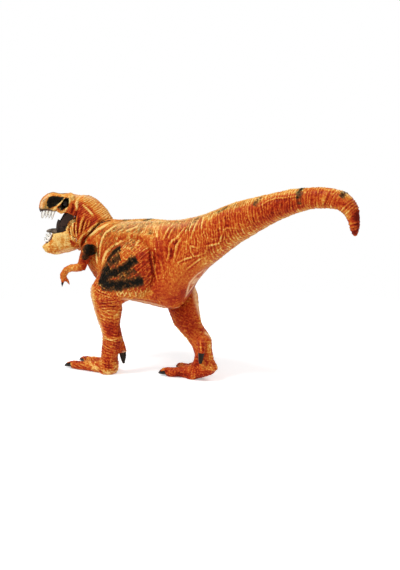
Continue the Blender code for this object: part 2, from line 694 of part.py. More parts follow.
def make_lower_jaw():
    ribs = []
    for lip_f, lip_u, chin_f, chin_u, width in JAW_RIB_SHARES:
        lip = head_point(lip_f, lip_u)
        chin = head_point(chin_f, chin_u)
        ribs.append(rib(lip, chin, HEAD_LEFT, width * HEAD_HALF, HEAD_POWER, sides=HEAD_SIDES))
    jaw = loft("lower_jaw", ribs, end=head_point(*JAW_TIP_SHARES))
    cut(jaw, hinge_rod("cheek_room", JAW_LOBE_RADIUS + SEAM_GAP, HEAD_WIDTH))
    root = sector("root", JAW_ROOT_RADIUS, JAW_ROOT_LOW, JAW_ROOT_HIGH, ROOT_HALF)
    barrel = hinge_rod("barrel", JAW_LOBE_RADIUS - SEAM_GAP, ROOT_HALF - SEAM_GAP)
    join(jaw, root, barrel)
    trough = loft("trough", trough_ribs(LIP_WALL, TROUGH_SHARE, MOUTH_LIFT, 0))
    slots = [make_web(side, SEAM_GAP) for side in (-1, 1)]
    slots += [cheek_skin(side, SEAM_GAP, JAW_SWING) for side in (-1, 1)]
    pin_hole = hinge_rod("jaw_pin_hole", JAW_PIN_RADIUS + SEAM_GAP, HEAD_WIDTH)
    return cut(jaw, trough, *slots, pin_hole)


def make_web(side, grow=0.0):
    """The skin at the corner of the mouth, or the slot that it stands in."""
    spread = grow / WEB_ROOT
    return sector("web", WEB_REACH + grow, WEB_FOOT - spread, WEB_TOP + spread, WEB_WALL / 2 + grow,
                  WEB_PLACE * side, WEB_ROOT - grow)


def make_mouth_floor():
    floor = loft("mouth_floor", draw_in(trough_ribs(LIP_WALL + SEAM_GAP, TROUGH_SHARE, OVERRUN, SEAM_GAP)[:-1]))
    cut(floor, loft("floor_room", trough_ribs(-OVERRUN, TROUGH_SHARE, MOUTH_LIFT, LINING_WALL, SLAB_POWER)))
    join(floor, *[make_web(side) for side in (-1, 1)])
    return cut(floor, make_tongue("tongue_seat", SEAM_GAP))


def make_tongue(name, grow=0.0):
    ribs = []
    for forward, top, bottom, width in TONGUE_SHARES:
        high = head_point(forward, top) + UP * grow
        low = head_point(forward, bottom) - UP * grow
        ribs.append(rib(high, low, HEAD_LEFT, width * TONGUE_WIDTH + grow, sides=TOE_SIDES))
    if grow:
        ribs[0] = [point - AHEAD * grow for point in ribs[0]]
    return loft(name, ribs, end=head_point(*TONGUE_TIP_SHARES))


def lip_path(rows, start, inset, lift):
    """The line inside a lip, round the front from one side to the other."""
    rows = [row for row in rows if row[0] > start]
    near = []
    for forward, up, width in rows:
        near.append(head_point(forward, up) + UP * lift + HEAD_LEFT * (width * HEAD_HALF - inset))
    near[-1] = near[-1].lerp(near[-2], inset / (near[-1] - near[-2]).length)
    far = [HINGE + (point - HINGE).reflect(HEAD_LEFT) for point in near]
    return near + far[::-1]


def even_places(path, count):
    """Points at equal steps along a line."""
    lengths = [(b - a).length for a, b in zip(path, path[1:])]
    step = sum(lengths) / (count - 1)
    places = []
    for i in range(count):
        along = min(step * i, sum(lengths))
        j = 0
        while j < len(lengths) - 1 and along > lengths[j]:
            along -= lengths[j]
            j += 1
        places.append(path[j].lerp(path[j + 1], along / lengths[j]))
    return places


def make_teeth(name, path, count, direction, length):
    """A gum strip with a row of pointed teeth."""
    places = even_places(path, count)
    ends = [places[0] - (places[1] - places[0]) / 2, places[-1] + (places[-1] - places[-2]) / 2]
    line = [ends[0], *places, ends[1]]
    strip = tube(name, line, [GUM_RADIUS] * len(line), GUM_SIDES)
    teeth = []
    for place in places:
        tip = place + direction * length + AHEAD * TOOTH_LEAN
        points = [place.lerp(tip, share) for share in TOOTH_LENGTH_SHARES]
        radii = [share * TOOTH_RADIUS for share in TOOTH_RADIUS_SHARES]
        teeth.append(tube("tooth", points, radii, TOOTH_SIDES, tip))
    return join(strip, *teeth)


def make_upper_teeth():
    rows = [(forward, lip, width) for forward, _, lip, width in roof_line()]
    path = lip_path(rows, UPPER_TEETH_START_SHARE, LIP_WALL + SEAM_GAP + TOOTH_RADIUS, UPPER_GUM_RISE)
    return make_teeth("upper_teeth", path, UPPER_TEETH, -UP, UPPER_TOOTH_LENGTH + UPPER_GUM_RISE)


def make_lower_teeth():
    rows = [(lip_f, lip_u, width) for lip_f, lip_u, _, _, width in JAW_RIB_SHARES]
    inset = LIP_WALL + SEAM_GAP + SEAM_GAP + TOOTH_RADIUS
    path = lip_path(rows, LOWER_TEETH_START_SHARE, inset, -LOWER_GUM_DROP)
    return make_teeth("lower_teeth", path, LOWER_TEETH, UP, LOWER_TOOTH_LENGTH + LOWER_GUM_DROP)


def limb_rib(front, back, side, inner, outer):
    """A section whose inner face is flat against the flank where it reaches that far in."""
    middle = (front + back) / 2
    reach = (front - back) / 2
    points = []
    for i in range(LEG_SIDES):
        angle = math.tau * i / LEG_SIDES
        along = signed_power(math.cos(angle), 2 / LIMB_POWER)
        out = math.sin(angle)
        if inner == 0:
            depth = outer * max(out, 0) ** LENS_SHARE
        else:
            depth = (inner + outer) / 2 + (outer - inner) / 2 * signed_power(out, 2 / LIMB_POWER)
        points.append(middle + reach * along + X_AXIS * (side * (FLANK + depth)))
    return points


def make_boss(seat, side, radius, depth):
    return rod("boss", seat, X_AXIS * side, [(0, radius), (depth + BOSS_SINK, radius)])


def peg_hole(seat, side, radius, reach):
    bore = radius + SEAM_GAP
    return rod("peg_hole", seat, X_AXIS * side, [(-OVERRUN, bore), (reach + SEAM_GAP, bore)])


def make_claw(root, knuckle, tip, radius):
    """A curved claw that stands on the end of a toe or finger."""
    arch = UP * (radius * CLAW_ARCH_SHARE)
    path = [knuckle.lerp(root, CLAW_SINK_SHARE), knuckle + arch, knuckle.lerp(tip, CLAW_BEND_SHARE) + arch]
    return tube("claw", path, [share * radius for share in CLAW_RADIUS_SHARES], TOE_SIDES, tip)


def make_toe(shares):
    points = [Vector((x, y, z)) * HIP_HEIGHT for x, y, z, _ in shares]
    radii = [row[3] * HIP_HEIGHT for row in shares[:-1]]
    flesh = tube("toe", points[:-1], radii, TOE_SIDES, points[-1].lerp(points[-2], TOE_END_SHARE))
    return [flesh, make_claw(points[-3], points[-2], points[-1], radii[-1])]


def make_leg(name, side, rib_shares, toe_shares):
    ribs = []
    for front_y, front_z, back_y, back_z, inner, outer in rib_shares:
        front = HIP + Vector((0, front_y, front_z)) * HIP_HEIGHT
        back = HIP + Vector((0, back_y, back_z)) * HIP_HEIGHT
        ribs.append(limb_rib(front, back, side, inner * THIGH_THICKNESS, outer * THIGH_THICKNESS))
    leg = loft(name, ribs)
    seat = hip_seat(side)
    pieces = [make_boss(seat, side, HIP_BOSS_RADIUS, HIP_BOSS_DEPTH)]
    for shares in toe_shares.values():
        pieces += make_toe(shares)
    join(leg, *pieces)
    return cut(leg, peg_hole(seat, side, HIP_PEG_RADIUS, HIP_PEG_REACH), ground_block())


def ground_block():
    """Everything below the floor, to cut the soles flat."""
    bm = bmesh.new()
    bmesh.ops.create_cube(bm, size=TAIL_REACH + TAIL_REACH)
    bmesh.ops.translate(bm, verts=bm.verts, vec=(0, 0, -TAIL_REACH))
    return add_object("ground_block", bm)


def make_arm(name, side, turn):
    """An arm that hangs from its shoulder, turned back by an angle."""
    def place(y_share, z_share, out=0.0):
        y = y_share * math.cos(turn) - z_share * math.sin(turn)
        z = y_share * math.sin(turn) + z_share * math.cos(turn)
        return SHOULDER + Vector((side * out, y * ARM_REACH, z * ARM_REACH))

    ribs = []
    for front_y, front_z, back_y, back_z, outer in ARM_RIB_SHARES:
        front = place(front_y, front_z)
        back = place(back_y, back_z)
        ribs.append(limb_rib(front, back, side, 0, outer * ARM_THICKNESS))
    arm = loft(name, ribs)
    seat = shoulder_seat(side)
    middle = FLANK + ARM_THICKNESS / 2
    path = [place(y, z, middle) for y, z, _ in ARM_PATH_SHARES]
    radii = [share[2] * ARM_REACH for share in ARM_PATH_SHARES]
    pieces = [make_boss(seat, side, SHOULDER_BOSS_RADIUS, SHOULDER_BOSS_DEPTH)]
    pieces.append(tube("forearm", path, radii, ARM_SIDES))
    finger = FINGER_RADIUS_SHARE * ARM_REACH
    for tip_y, tip_z, out in FINGER_SHARES:
        tip = place(tip_y, tip_z, middle + out * ARM_THICKNESS)
        root = path[-2]
        knuckle = root.lerp(tip, CLAW_BEND_SHARE)
        end = knuckle.lerp(tip, CLAW_SINK_SHARE)
        pieces.append(tube("finger", [root, knuckle], [finger, finger], TOE_SIDES, end))
        pieces.append(make_claw(root, knuckle, tip, finger))
    join(arm, *pieces)
    return cut(arm, peg_hole(seat, side, SHOULDER_PEG_RADIUS, SHOULDER_PEG_REACH))


def make_mouth(neck, jaw_joint):
    """Linings, teeth, tongue and pin of the mouth."""
    hang(make_palate(), neck, "palate_lining", MOUTH_COLOUR, LINING_ROUGHNESS)
    hang(make_upper_teeth(), neck, "upper_teeth_plastic", TOOTH_COLOUR, VINYL_ROUGHNESS)
    pin = hinge_rod("jaw_hinge_pin", JAW_PIN_RADIUS, JAW_PIN_REACH)
    hang(pin, neck, "pin_steel", PIN_COLOUR, PIN_ROUGHNESS, 1)
    hang(make_lower_jaw(), jaw_joint, "jaw_vinyl", JAW_COLOUR, VINYL_ROUGHNESS)
    hang(make_mouth_floor(), jaw_joint, "mouth_floor_lining", MOUTH_COLOUR, LINING_ROUGHNESS)
    hang(make_tongue("tongue"), jaw_joint, "tongue_vinyl", TONGUE_COLOUR, VINYL_ROUGHNESS)
    hang(make_lower_teeth(), jaw_joint, "lower_teeth_plastic", TOOTH_COLOUR, VINYL_ROUGHNESS)


def make_side(root, neck, name, side, leg_shares, toe_shares, arm_turn):
    """The leg, arm, pegs and eye of one side."""
    hip = make_frame(f"{name}_hip_joint", HIP, root)
    leg = make_leg(f"{name}_leg", side, leg_shares, toe_shares)
    hang(leg, hip, f"{name}_leg_vinyl", SKIN_COLOUR, VINYL_ROUGHNESS)
    shoulder = make_frame(f"{name}_shoulder_joint", SHOULDER, root)
    arm = make_arm(f"{name}_arm", side, arm_turn)
    hang(arm, shoulder, f"{name}_arm_vinyl", SKIN_COLOUR, VINYL_ROUGHNESS)
    outward = X_AXIS * side
    pegs = {"hip_peg": (hip_seat(side), HIP_PEG_RADIUS, HIP_PEG_REACH),
            "shoulder_peg": (shoulder_seat(side), SHOULDER_PEG_RADIUS, SHOULDER_PEG_REACH)}
    for peg_name, (seat, radius, reach) in pegs.items():
        peg = make_peg(f"{name}_{peg_name}", seat, outward, radius, reach)
        hang(peg, root, f"{name}_{peg_name}_plastic", PEG_COLOUR, VINYL_ROUGHNESS)
    hang(eye_ball(f"{name}_eye", side), neck, f"{name}_eye_plastic", EYE_COLOUR, GLOSS_ROUGHNESS)


def centre_on_origin(root):
    """Moves the whole figure until its box stands centred on the origin."""
    bpy.context.view_layer.update()
    corners = []
    for obj in bpy.context.scene.objects:
        if obj.type == "MESH":
            corners += [obj.matrix_world @ vert.co for vert in obj.data.vertices]
    for axis in (0, 1):
        low = min(corner[axis] for corner in corners)
        high = max(corner[axis] for corner in corners)
        root["frame"].location[axis] = -(low + high) / 2


def make_all():
    clear_scene()
    root = make_frame("figure", Vector())
    hang(make_torso(), root, "torso_vinyl", SKIN_COLOUR, VINYL_ROUGHNESS)
    neck = make_frame("neck_joint", SEAM_CENTRE, root)
    hang(make_head(), neck, "head_vinyl", SKIN_COLOUR, VINYL_ROUGHNESS)
    neck_peg = make_peg("neck_peg", SEAM_CENTRE, NECK_AXIS, NECK_PEG_RADIUS, NECK_PEG_REACH)
    hang(neck_peg, root, "neck_peg_plastic", PEG_COLOUR, VINYL_ROUGHNESS)
    make_mouth(neck, make_frame("jaw_joint", HINGE, neck))
    make_side(root, neck, "left", 1, LEFT_LEG_SHARES, LEFT_TOE_SHARES, 0)
    make_side(root, neck, "right", -1, RIGHT_LEG_SHARES, RIGHT_TOE_SHARES, RIGHT_ARM_TURN)
    centre_on_origin(root)


make_all()
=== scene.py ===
# %% [markdown]
# # A toy dinosaur in painted soft vinyl
#
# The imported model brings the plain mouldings, their joints and their real sizes. This lesson gives
# each moulding its sculpted skin and its sprayed colours, and leaves the joints as they are.
# Lengths are in millimetres from the hip axis, and a helper turns them into places in the model.

# %% Load the frame
import json

import bmesh
import bpy
import numpy as np
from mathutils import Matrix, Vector
from mathutils.bvhtree import BVHTree


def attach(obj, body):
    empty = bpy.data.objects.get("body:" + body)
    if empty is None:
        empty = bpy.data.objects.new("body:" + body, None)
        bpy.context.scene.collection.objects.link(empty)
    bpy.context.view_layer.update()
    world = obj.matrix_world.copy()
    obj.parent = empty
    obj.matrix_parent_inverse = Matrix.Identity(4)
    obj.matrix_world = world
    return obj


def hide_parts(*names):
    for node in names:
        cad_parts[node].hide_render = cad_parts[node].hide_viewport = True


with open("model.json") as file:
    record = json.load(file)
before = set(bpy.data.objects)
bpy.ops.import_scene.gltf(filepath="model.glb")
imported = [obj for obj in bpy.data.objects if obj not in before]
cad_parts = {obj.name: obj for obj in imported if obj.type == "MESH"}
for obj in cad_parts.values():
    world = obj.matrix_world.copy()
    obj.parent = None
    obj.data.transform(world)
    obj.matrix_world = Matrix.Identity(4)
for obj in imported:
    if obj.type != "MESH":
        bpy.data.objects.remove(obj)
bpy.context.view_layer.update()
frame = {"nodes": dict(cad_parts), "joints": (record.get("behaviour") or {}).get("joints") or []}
MM = 0.001
joint_places = {joint["name"]: Vector(joint["pos_m"]) for joint in frame["joints"]}
HIP = joint_places["left_hip_turn"]
HINGE = np.array(joint_places["jaw_hinge"] - HIP) / MM
SEAM = np.array(joint_places["neck_turn"] - HIP) / MM
HEAD_LEFT = np.array((0.7071, 0.7071, 0))
HEAD_AHEAD = np.array((0.7071, -0.7071, 0))
print("the model has", len(frame["nodes"]), "nodes, and its hip axis is", round(HIP.z / MM, 1), "mm up")

# %% [markdown]
# ## Where the picture is taken from
#
# The animal is seen from behind its left side and a little from above. The camera stands 0.8 m away,
# which gives the same perspective as the picture, and it is placed from the hip axis.

# %% Camera
CAMERA_FROM_HIP = Vector((627.1, 492.1, 124.0)) * MM
CAMERA_RIGHT = Vector((-0.57358, 0.81915, 0))
CAMERA_UP = Vector((-0.14224, -0.09960, 0.98481))
CAMERA_AHEAD = Vector((-0.80671, -0.56486, -0.17365))
LENS_MM = 65.68
FOCAL_PIXELS = 1040
PICTURE_MIDDLE = (200, 285)

camera_data = bpy.data.cameras.new("camera")
camera_data.lens = LENS_MM
camera_data.sensor_width = 36
camera_data.clip_start = 0.01
camera = bpy.data.objects.new("camera", camera_data)
bpy.context.scene.collection.objects.link(camera)
camera.location = HIP + CAMERA_FROM_HIP
camera.rotation_euler = CAMERA_AHEAD.to_track_quat("-Z", "Y").to_euler()
bpy.context.scene.camera = camera
print("camera at", [round(value, 3) for value in camera.location])

# %% [markdown]
# ## Floor and light
#
# A studio sweep: white paper underfoot that fades into a white room, a large soft lamp high on the
# left, and weaker ones that open the shadows. The lamps are kept low, so that a colour comes out
# about as it is written.

# %% Floor
FADE_START, FADE_END = 0.20, 0.42


def new_finish(name):
    """A material, its node tree and its shader."""
    finish = bpy.data.materials.new(name)
    finish.use_nodes = True
    return finish, finish.node_tree, finish.node_tree.nodes["Principled BSDF"]


def make_floor():
    bpy.ops.mesh.primitive_plane_add(size=4, location=(0, 0, 0))
    floor = bpy.context.active_object
    floor.name = "floor"
    finish, tree, paper = new_finish("floor_paper")
    paper.inputs["Base Color"].default_value = (0.95, 0.95, 0.95, 1)
    paper.inputs["Roughness"].default_value = 0.9
    paper.inputs["Specular IOR Level"].default_value = 0.1
    paper.inputs["Emission Color"].default_value = (1, 1, 1, 1)
    coordinates = tree.nodes.new("ShaderNodeTexCoord")
    distance = tree.nodes.new("ShaderNodeVectorMath")
    distance.operation = "LENGTH"
    fade = tree.nodes.new("ShaderNodeMapRange")
    fade.interpolation_type = "SMOOTHSTEP"
    fade.inputs["From Min"].default_value = FADE_START
    fade.inputs["From Max"].default_value = FADE_END
    tree.links.new(coordinates.outputs["Object"], distance.inputs[0])
    tree.links.new(distance.outputs["Value"], fade.inputs["Value"])
    path = tree.nodes.new("ShaderNodeLightPath")
    glow = tree.nodes.new("ShaderNodeMath")
    glow.operation = "MULTIPLY"
    glow.inputs[1].default_value = 0.30
    tree.links.new(path.outputs["Is Camera Ray"], glow.inputs[0])
    tree.links.new(glow.outputs[0], paper.inputs["Emission Strength"])
    clear = tree.nodes.new("ShaderNodeBsdfTransparent")
    mix = tree.nodes.new("ShaderNodeMixShader")
    tree.links.new(fade.outputs["Result"], mix.inputs["Fac"])
    tree.links.new(paper.outputs[0], mix.inputs[1])
    tree.links.new(clear.outputs[0], mix.inputs[2])
    tree.links.new(mix.outputs[0], tree.nodes["Material Output"].inputs["Surface"])
    floor.data.materials.append(finish)


make_floor()
print("the floor fades out from", FADE_START, "to", FADE_END, "m")


# %% Room
def make_world():
    world = bpy.data.worlds.new("studio")
    bpy.context.scene.world = world
    world.use_nodes = True
    tree = world.node_tree
    sky = tree.nodes["Background"]
    sky.inputs["Color"].default_value = (1, 1, 1, 1)
    sky.inputs["Strength"].default_value = 0.36
    shown = tree.nodes.new("ShaderNodeBackground")
    shown.inputs["Color"].default_value = (1, 1, 1, 1)
    shown.inputs["Strength"].default_value = 1
    path = tree.nodes.new("ShaderNodeLightPath")
    mix = tree.nodes.new("ShaderNodeMixShader")
    tree.links.new(path.outputs["Is Camera Ray"], mix.inputs["Fac"])
    tree.links.new(sky.outputs[0], mix.inputs[1])
    tree.links.new(shown.outputs[0], mix.inputs[2])
    tree.links.new(mix.outputs[0], tree.nodes["World Output"].inputs["Surface"])


make_world()
print("room:", bpy.context.scene.world.name)


# %% Lamps
def make_lamp(name, place, size, power):
    """A square soft lamp that faces the figure."""
    data = bpy.data.lights.new(name, "AREA")
    data.size = size
    data.energy = power
    lamp = bpy.data.objects.new(name, data)
    bpy.context.scene.collection.objects.link(lamp)
    lamp.location = HIP + Vector(place)
    lamp.rotation_euler = (HIP - lamp.location).to_track_quat("-Z", "Y").to_euler()


make_lamp("key_lamp", (0.55, -0.25, 0.80), 0.30, 7.8)
make_lamp("fill_lamp", (0.8, 0.6, 0.30), 0.7, 3.0)
make_lamp("back_lamp", (-0.6, 0.3, 0.7), 0.6, 4.0)
bpy.context.scene.view_settings.view_transform = "Standard"
print("lamps:", len(bpy.data.lights))

# %% [markdown]
# ## From a plain moulding to a sculpt
#
# A sculptor's clay is even all over, so the skin starts as an even mesh: a copy of the moulding is
# merged, remeshed in small equal faces and relaxed until its facets are gone. The folds, scales and
# creases are then pressed into it as heights along the surface, and each height and each sprayed
# patch is kept as an attribute of the mesh, so that the paint follows the relief.

# %% Helpers for an even skin
def select_only(obj):
    bpy.ops.object.select_all(action="DESELECT")
    obj.select_set(True)
    bpy.context.view_layer.objects.active = obj


def copy_moulding(name, node):
    """A merged copy of a CAD node, away from the frame."""
    obj = bpy.data.objects.new(name, bpy.data.meshes.new(name))
    bpy.context.scene.collection.objects.link(obj)
    bm = bmesh.new()
    bm.from_mesh(frame["nodes"][node].data)
    bmesh.ops.remove_doubles(bm, verts=bm.verts, dist=0.01 * MM)
    bm.to_mesh(obj.data)
    bm.free()
    obj.data.materials.clear()
    return obj


def even_skin(name, node, voxel):
    """An even mesh of small faces over a copy of a node."""
    obj = copy_moulding(name, node)
    select_only(obj)
    modifier = obj.modifiers.new("remesh", "REMESH")
    modifier.mode = "VOXEL"
    modifier.voxel_size = voxel * MM
    bpy.ops.object.modifier_apply(modifier=modifier.name)
    return obj


def read_points(obj):
    """Positions in millimetres from the hip axis, and the normals."""
    count = len(obj.data.vertices)
    points = np.empty(count * 3, np.float32)
    obj.data.vertices.foreach_get("co", points)
    normals = np.empty(count * 3, np.float32)
    obj.data.vertex_normals.foreach_get("vector", normals)
    points = (points.reshape(-1, 3).astype(float) - np.array(HIP)) / MM
    return points, normals.reshape(-1, 3).astype(float)


def write_points(obj, points):
    moved = points * MM + np.array(HIP)
    obj.data.vertices.foreach_set("co", moved.astype(np.float32).ravel())
    obj.data.update()


def relax(obj, rounds, softness=None):
    """Draws each vertex towards the middle of its neighbours, as far as its softness from 0 to 1 says."""
    points, _ = read_points(obj)
    edges = np.empty(len(obj.data.edges) * 2, np.int32)
    obj.data.edges.foreach_get("vertices", edges)
    first, second = edges.reshape(-1, 2).T
    count = len(points)
    neighbours = np.bincount(first, minlength=count) + np.bincount(second, minlength=count)
    pull = 0.5 * (np.ones(count) if softness is None else softness(points))
    for _ in range(rounds):
        for axis in range(3):
            column = points[:, axis]
            total = np.bincount(first, column[second], count) + np.bincount(second, column[first], count)
            points[:, axis] += (total / neighbours - column) * pull
    write_points(obj, points)


def keep_values(obj, name, values):
    """Stores one number for each vertex, for the paint."""
    layer = obj.data.attributes.new(name, "FLOAT", "POINT")
    layer.data.foreach_set("value", np.clip(values, 0, 1).astype(np.float32))


# %% [markdown]
# Modelling clay is never smooth: it has lumps, fine streaks, rings of creases and scales. Each of
# these is worked out from the place of a point alone, so it comes out the same every time, and no
# texture has to be unwrapped.

# %% Helpers for noise
def scatter(cells, seed):
    """A repeatable random number between -1 and 1 for each lattice cell."""
    x, y, z = (cells[:, axis].astype(np.uint64) for axis in range(3))
    mixed = x * np.uint64(73856093) ^ y * np.uint64(19349663) ^ z * np.uint64(83492791)
    mixed = (mixed ^ np.uint64(seed * 2654435761)) * np.uint64(2246822519)
    mixed ^= mixed >> np.uint64(15)
    mixed *= np.uint64(3266489917)
    mixed ^= mixed >> np.uint64(13)
    return (mixed & np.uint64(0xFFFFFF)).astype(float) / float(0x7FFFFF) - 1


def noise(points, size, seed):
    """Smooth noise between -1 and 1 whose lumps are about size apart; size may differ by axis."""
    scaled = points / np.array(size) + 1000
    base = np.floor(scaled)
    part = scaled - base
    part = part * part * (3 - 2 * part)
    total = np.zeros(len(points))
    for corner in range(8):
        step = np.array([corner & 1, corner >> 1 & 1, corner >> 2 & 1])
        weight = np.prod(np.where(step, part, 1 - part), axis=1)
        total += weight * scatter(base + step, seed)
    return total


def streaks(points, size, seed):
    """Thin raised lines along the longest side of size, up to 1 high over a middle level of 0."""
    crests = np.clip(1 - np.abs(noise(points, size, seed)) * 3.4, 0, 1)
    return crests - crests.mean()


def ridges(points, pitch, seed):
    """Evenly spaced creases across the first coordinate, wandering and fading, over a middle level of 0."""
    wander = 0.6 * noise(points, (5, 8, 8), seed) + 0.25 * noise(points, (2, 3.2, 3.2), seed + 5)
    wave = np.cos(2 * np.pi * (points[:, 0] / pitch + wander))
    crests = ramp(wave, -0.1, 1.0) * (0.75 + 0.45 * noise(points, 2.4, seed + 9))
    return crests - crests.mean()


def pebbles(points, size, seed):
    """Scales: 1 in the middle of each, falling to 0 at their borders."""
    scaled = points / size + 500
    base = np.floor(scaled)
    near = np.full(len(points), 9.0)
    next_near = np.full(len(points), 9.0)
    for step in np.ndindex(3, 3, 3):
        cell = base + np.array(step) - 1
        shift = np.stack([scatter(cell, seed + axis) for axis in range(3)], axis=1)
        gap = np.linalg.norm(scaled - cell - 0.5 - 0.4 * shift, axis=1)
        next_near = np.minimum(next_near, np.maximum(near, gap))
        near = np.minimum(near, gap)
    return np.clip((next_near - near) * 2.2, 0, 1)


def ramp(values, low, high):
    """0 below low, 1 above high and a smooth rise between them."""
    share = np.clip((values - low) / (high - low), 0, 1)
    return share * share * (3 - 2 * share)


# %% [markdown]
# Folds and sprayed patches are strokes: a line on the skin with a width. A line is written as a few
# places in the picture, and a ray from the camera through each place finds it on the plain moulding.

# %% Helpers for strokes
def near_line(points, line):
    """For each point the distance to a line of points, and its place along it from 0 to 1."""
    best = np.full(len(points), 1e9)
    along = np.zeros(len(points))
    steps = np.diff(line, axis=0)
    lengths = np.maximum(np.linalg.norm(steps, axis=1), 1e-6)
    done = 0.0
    for start, step, length in zip(line, steps, lengths):
        share = np.clip((points - start) @ step / length ** 2, 0, 1)
        gap = np.linalg.norm(points - start - share[:, None] * step, axis=1)
        closer = gap < best
        best[closer] = gap[closer]
        along[closer] = done + share[closer] * length
        done += length
    return best, along / max(done, 1e-6)


def stroke_mask(points, line, width, taper=0.18, flat=1, trough=0.0):
    """1 on a line, falling off over its width; flat broadens its top, trough sinks a hollow beside it."""
    mask = np.zeros(len(points))
    reach = width * (4.2 if trough else 2.4)
    inside = np.all((points > line.min(0) - reach) & (points < line.max(0) + reach), axis=1)
    if not inside.any():
        return mask
    gap, along = near_line(points[inside], line)
    fall = np.exp(-(gap / width) ** (2 * flat)) - trough * np.exp(-(gap / width / 2) ** 2)
    if taper:
        fall *= ramp(along, -0.02, taper) * ramp(1 - along, -0.02, taper)
    mask[inside] = fall
    return mask


def plain_surface():
    """All visible plain mouldings as one surface, in millimetres from the hip axis."""
    points = []
    faces = []
    for node in ("torso", "head", "lower_jaw", "left_leg", "right_leg", "left_arm", "right_arm"):
        mesh = frame["nodes"][node].data
        first = len(points)
        points += [(vertex.co - HIP) / MM for vertex in mesh.vertices]
        faces += [[first + index for index in face.vertices] for face in mesh.polygons]
    return BVHTree.FromPolygons(points, faces)


SURFACE = plain_surface()


def on_skin(x, y):
    """The point of the figure seen at a place of the 400 by 570 picture, or the nearest one beside it."""
    across = (x - PICTURE_MIDDLE[0]) / FOCAL_PIXELS
    down = (y - PICTURE_MIDDLE[1]) / FOCAL_PIXELS
    way = (CAMERA_AHEAD + CAMERA_RIGHT * across - CAMERA_UP * down).normalized()
    eye = CAMERA_FROM_HIP / MM
    hit = SURFACE.ray_cast(eye, way)[0]
    if hit is None:
        hit = Vector((0, 0, 0))
        for _ in range(12):
            hit = SURFACE.find_nearest(eye + way * ((hit - eye).dot(way)))[0]
    return np.array(hit)


def line_on_skin(places):
    """Lays a line of picture places on the skin, in steps of about a millimetre and a half."""
    places = np.array(places, float)
    laid = []
    for start, end in zip(places, places[1:]):
        steps = max(1, int(np.ceil(np.linalg.norm(end - start) / 1.8)))
        laid += [on_skin(*(start + (end - start) * step / steps)) for step in range(steps)]
    laid.append(on_skin(*places[-1]))
    return np.array(laid)


print("the plain surface reaches", round(SURFACE.ray_cast((0, 0, 200), (0, 0, -1))[0].z, 1), "mm over the hip axis")
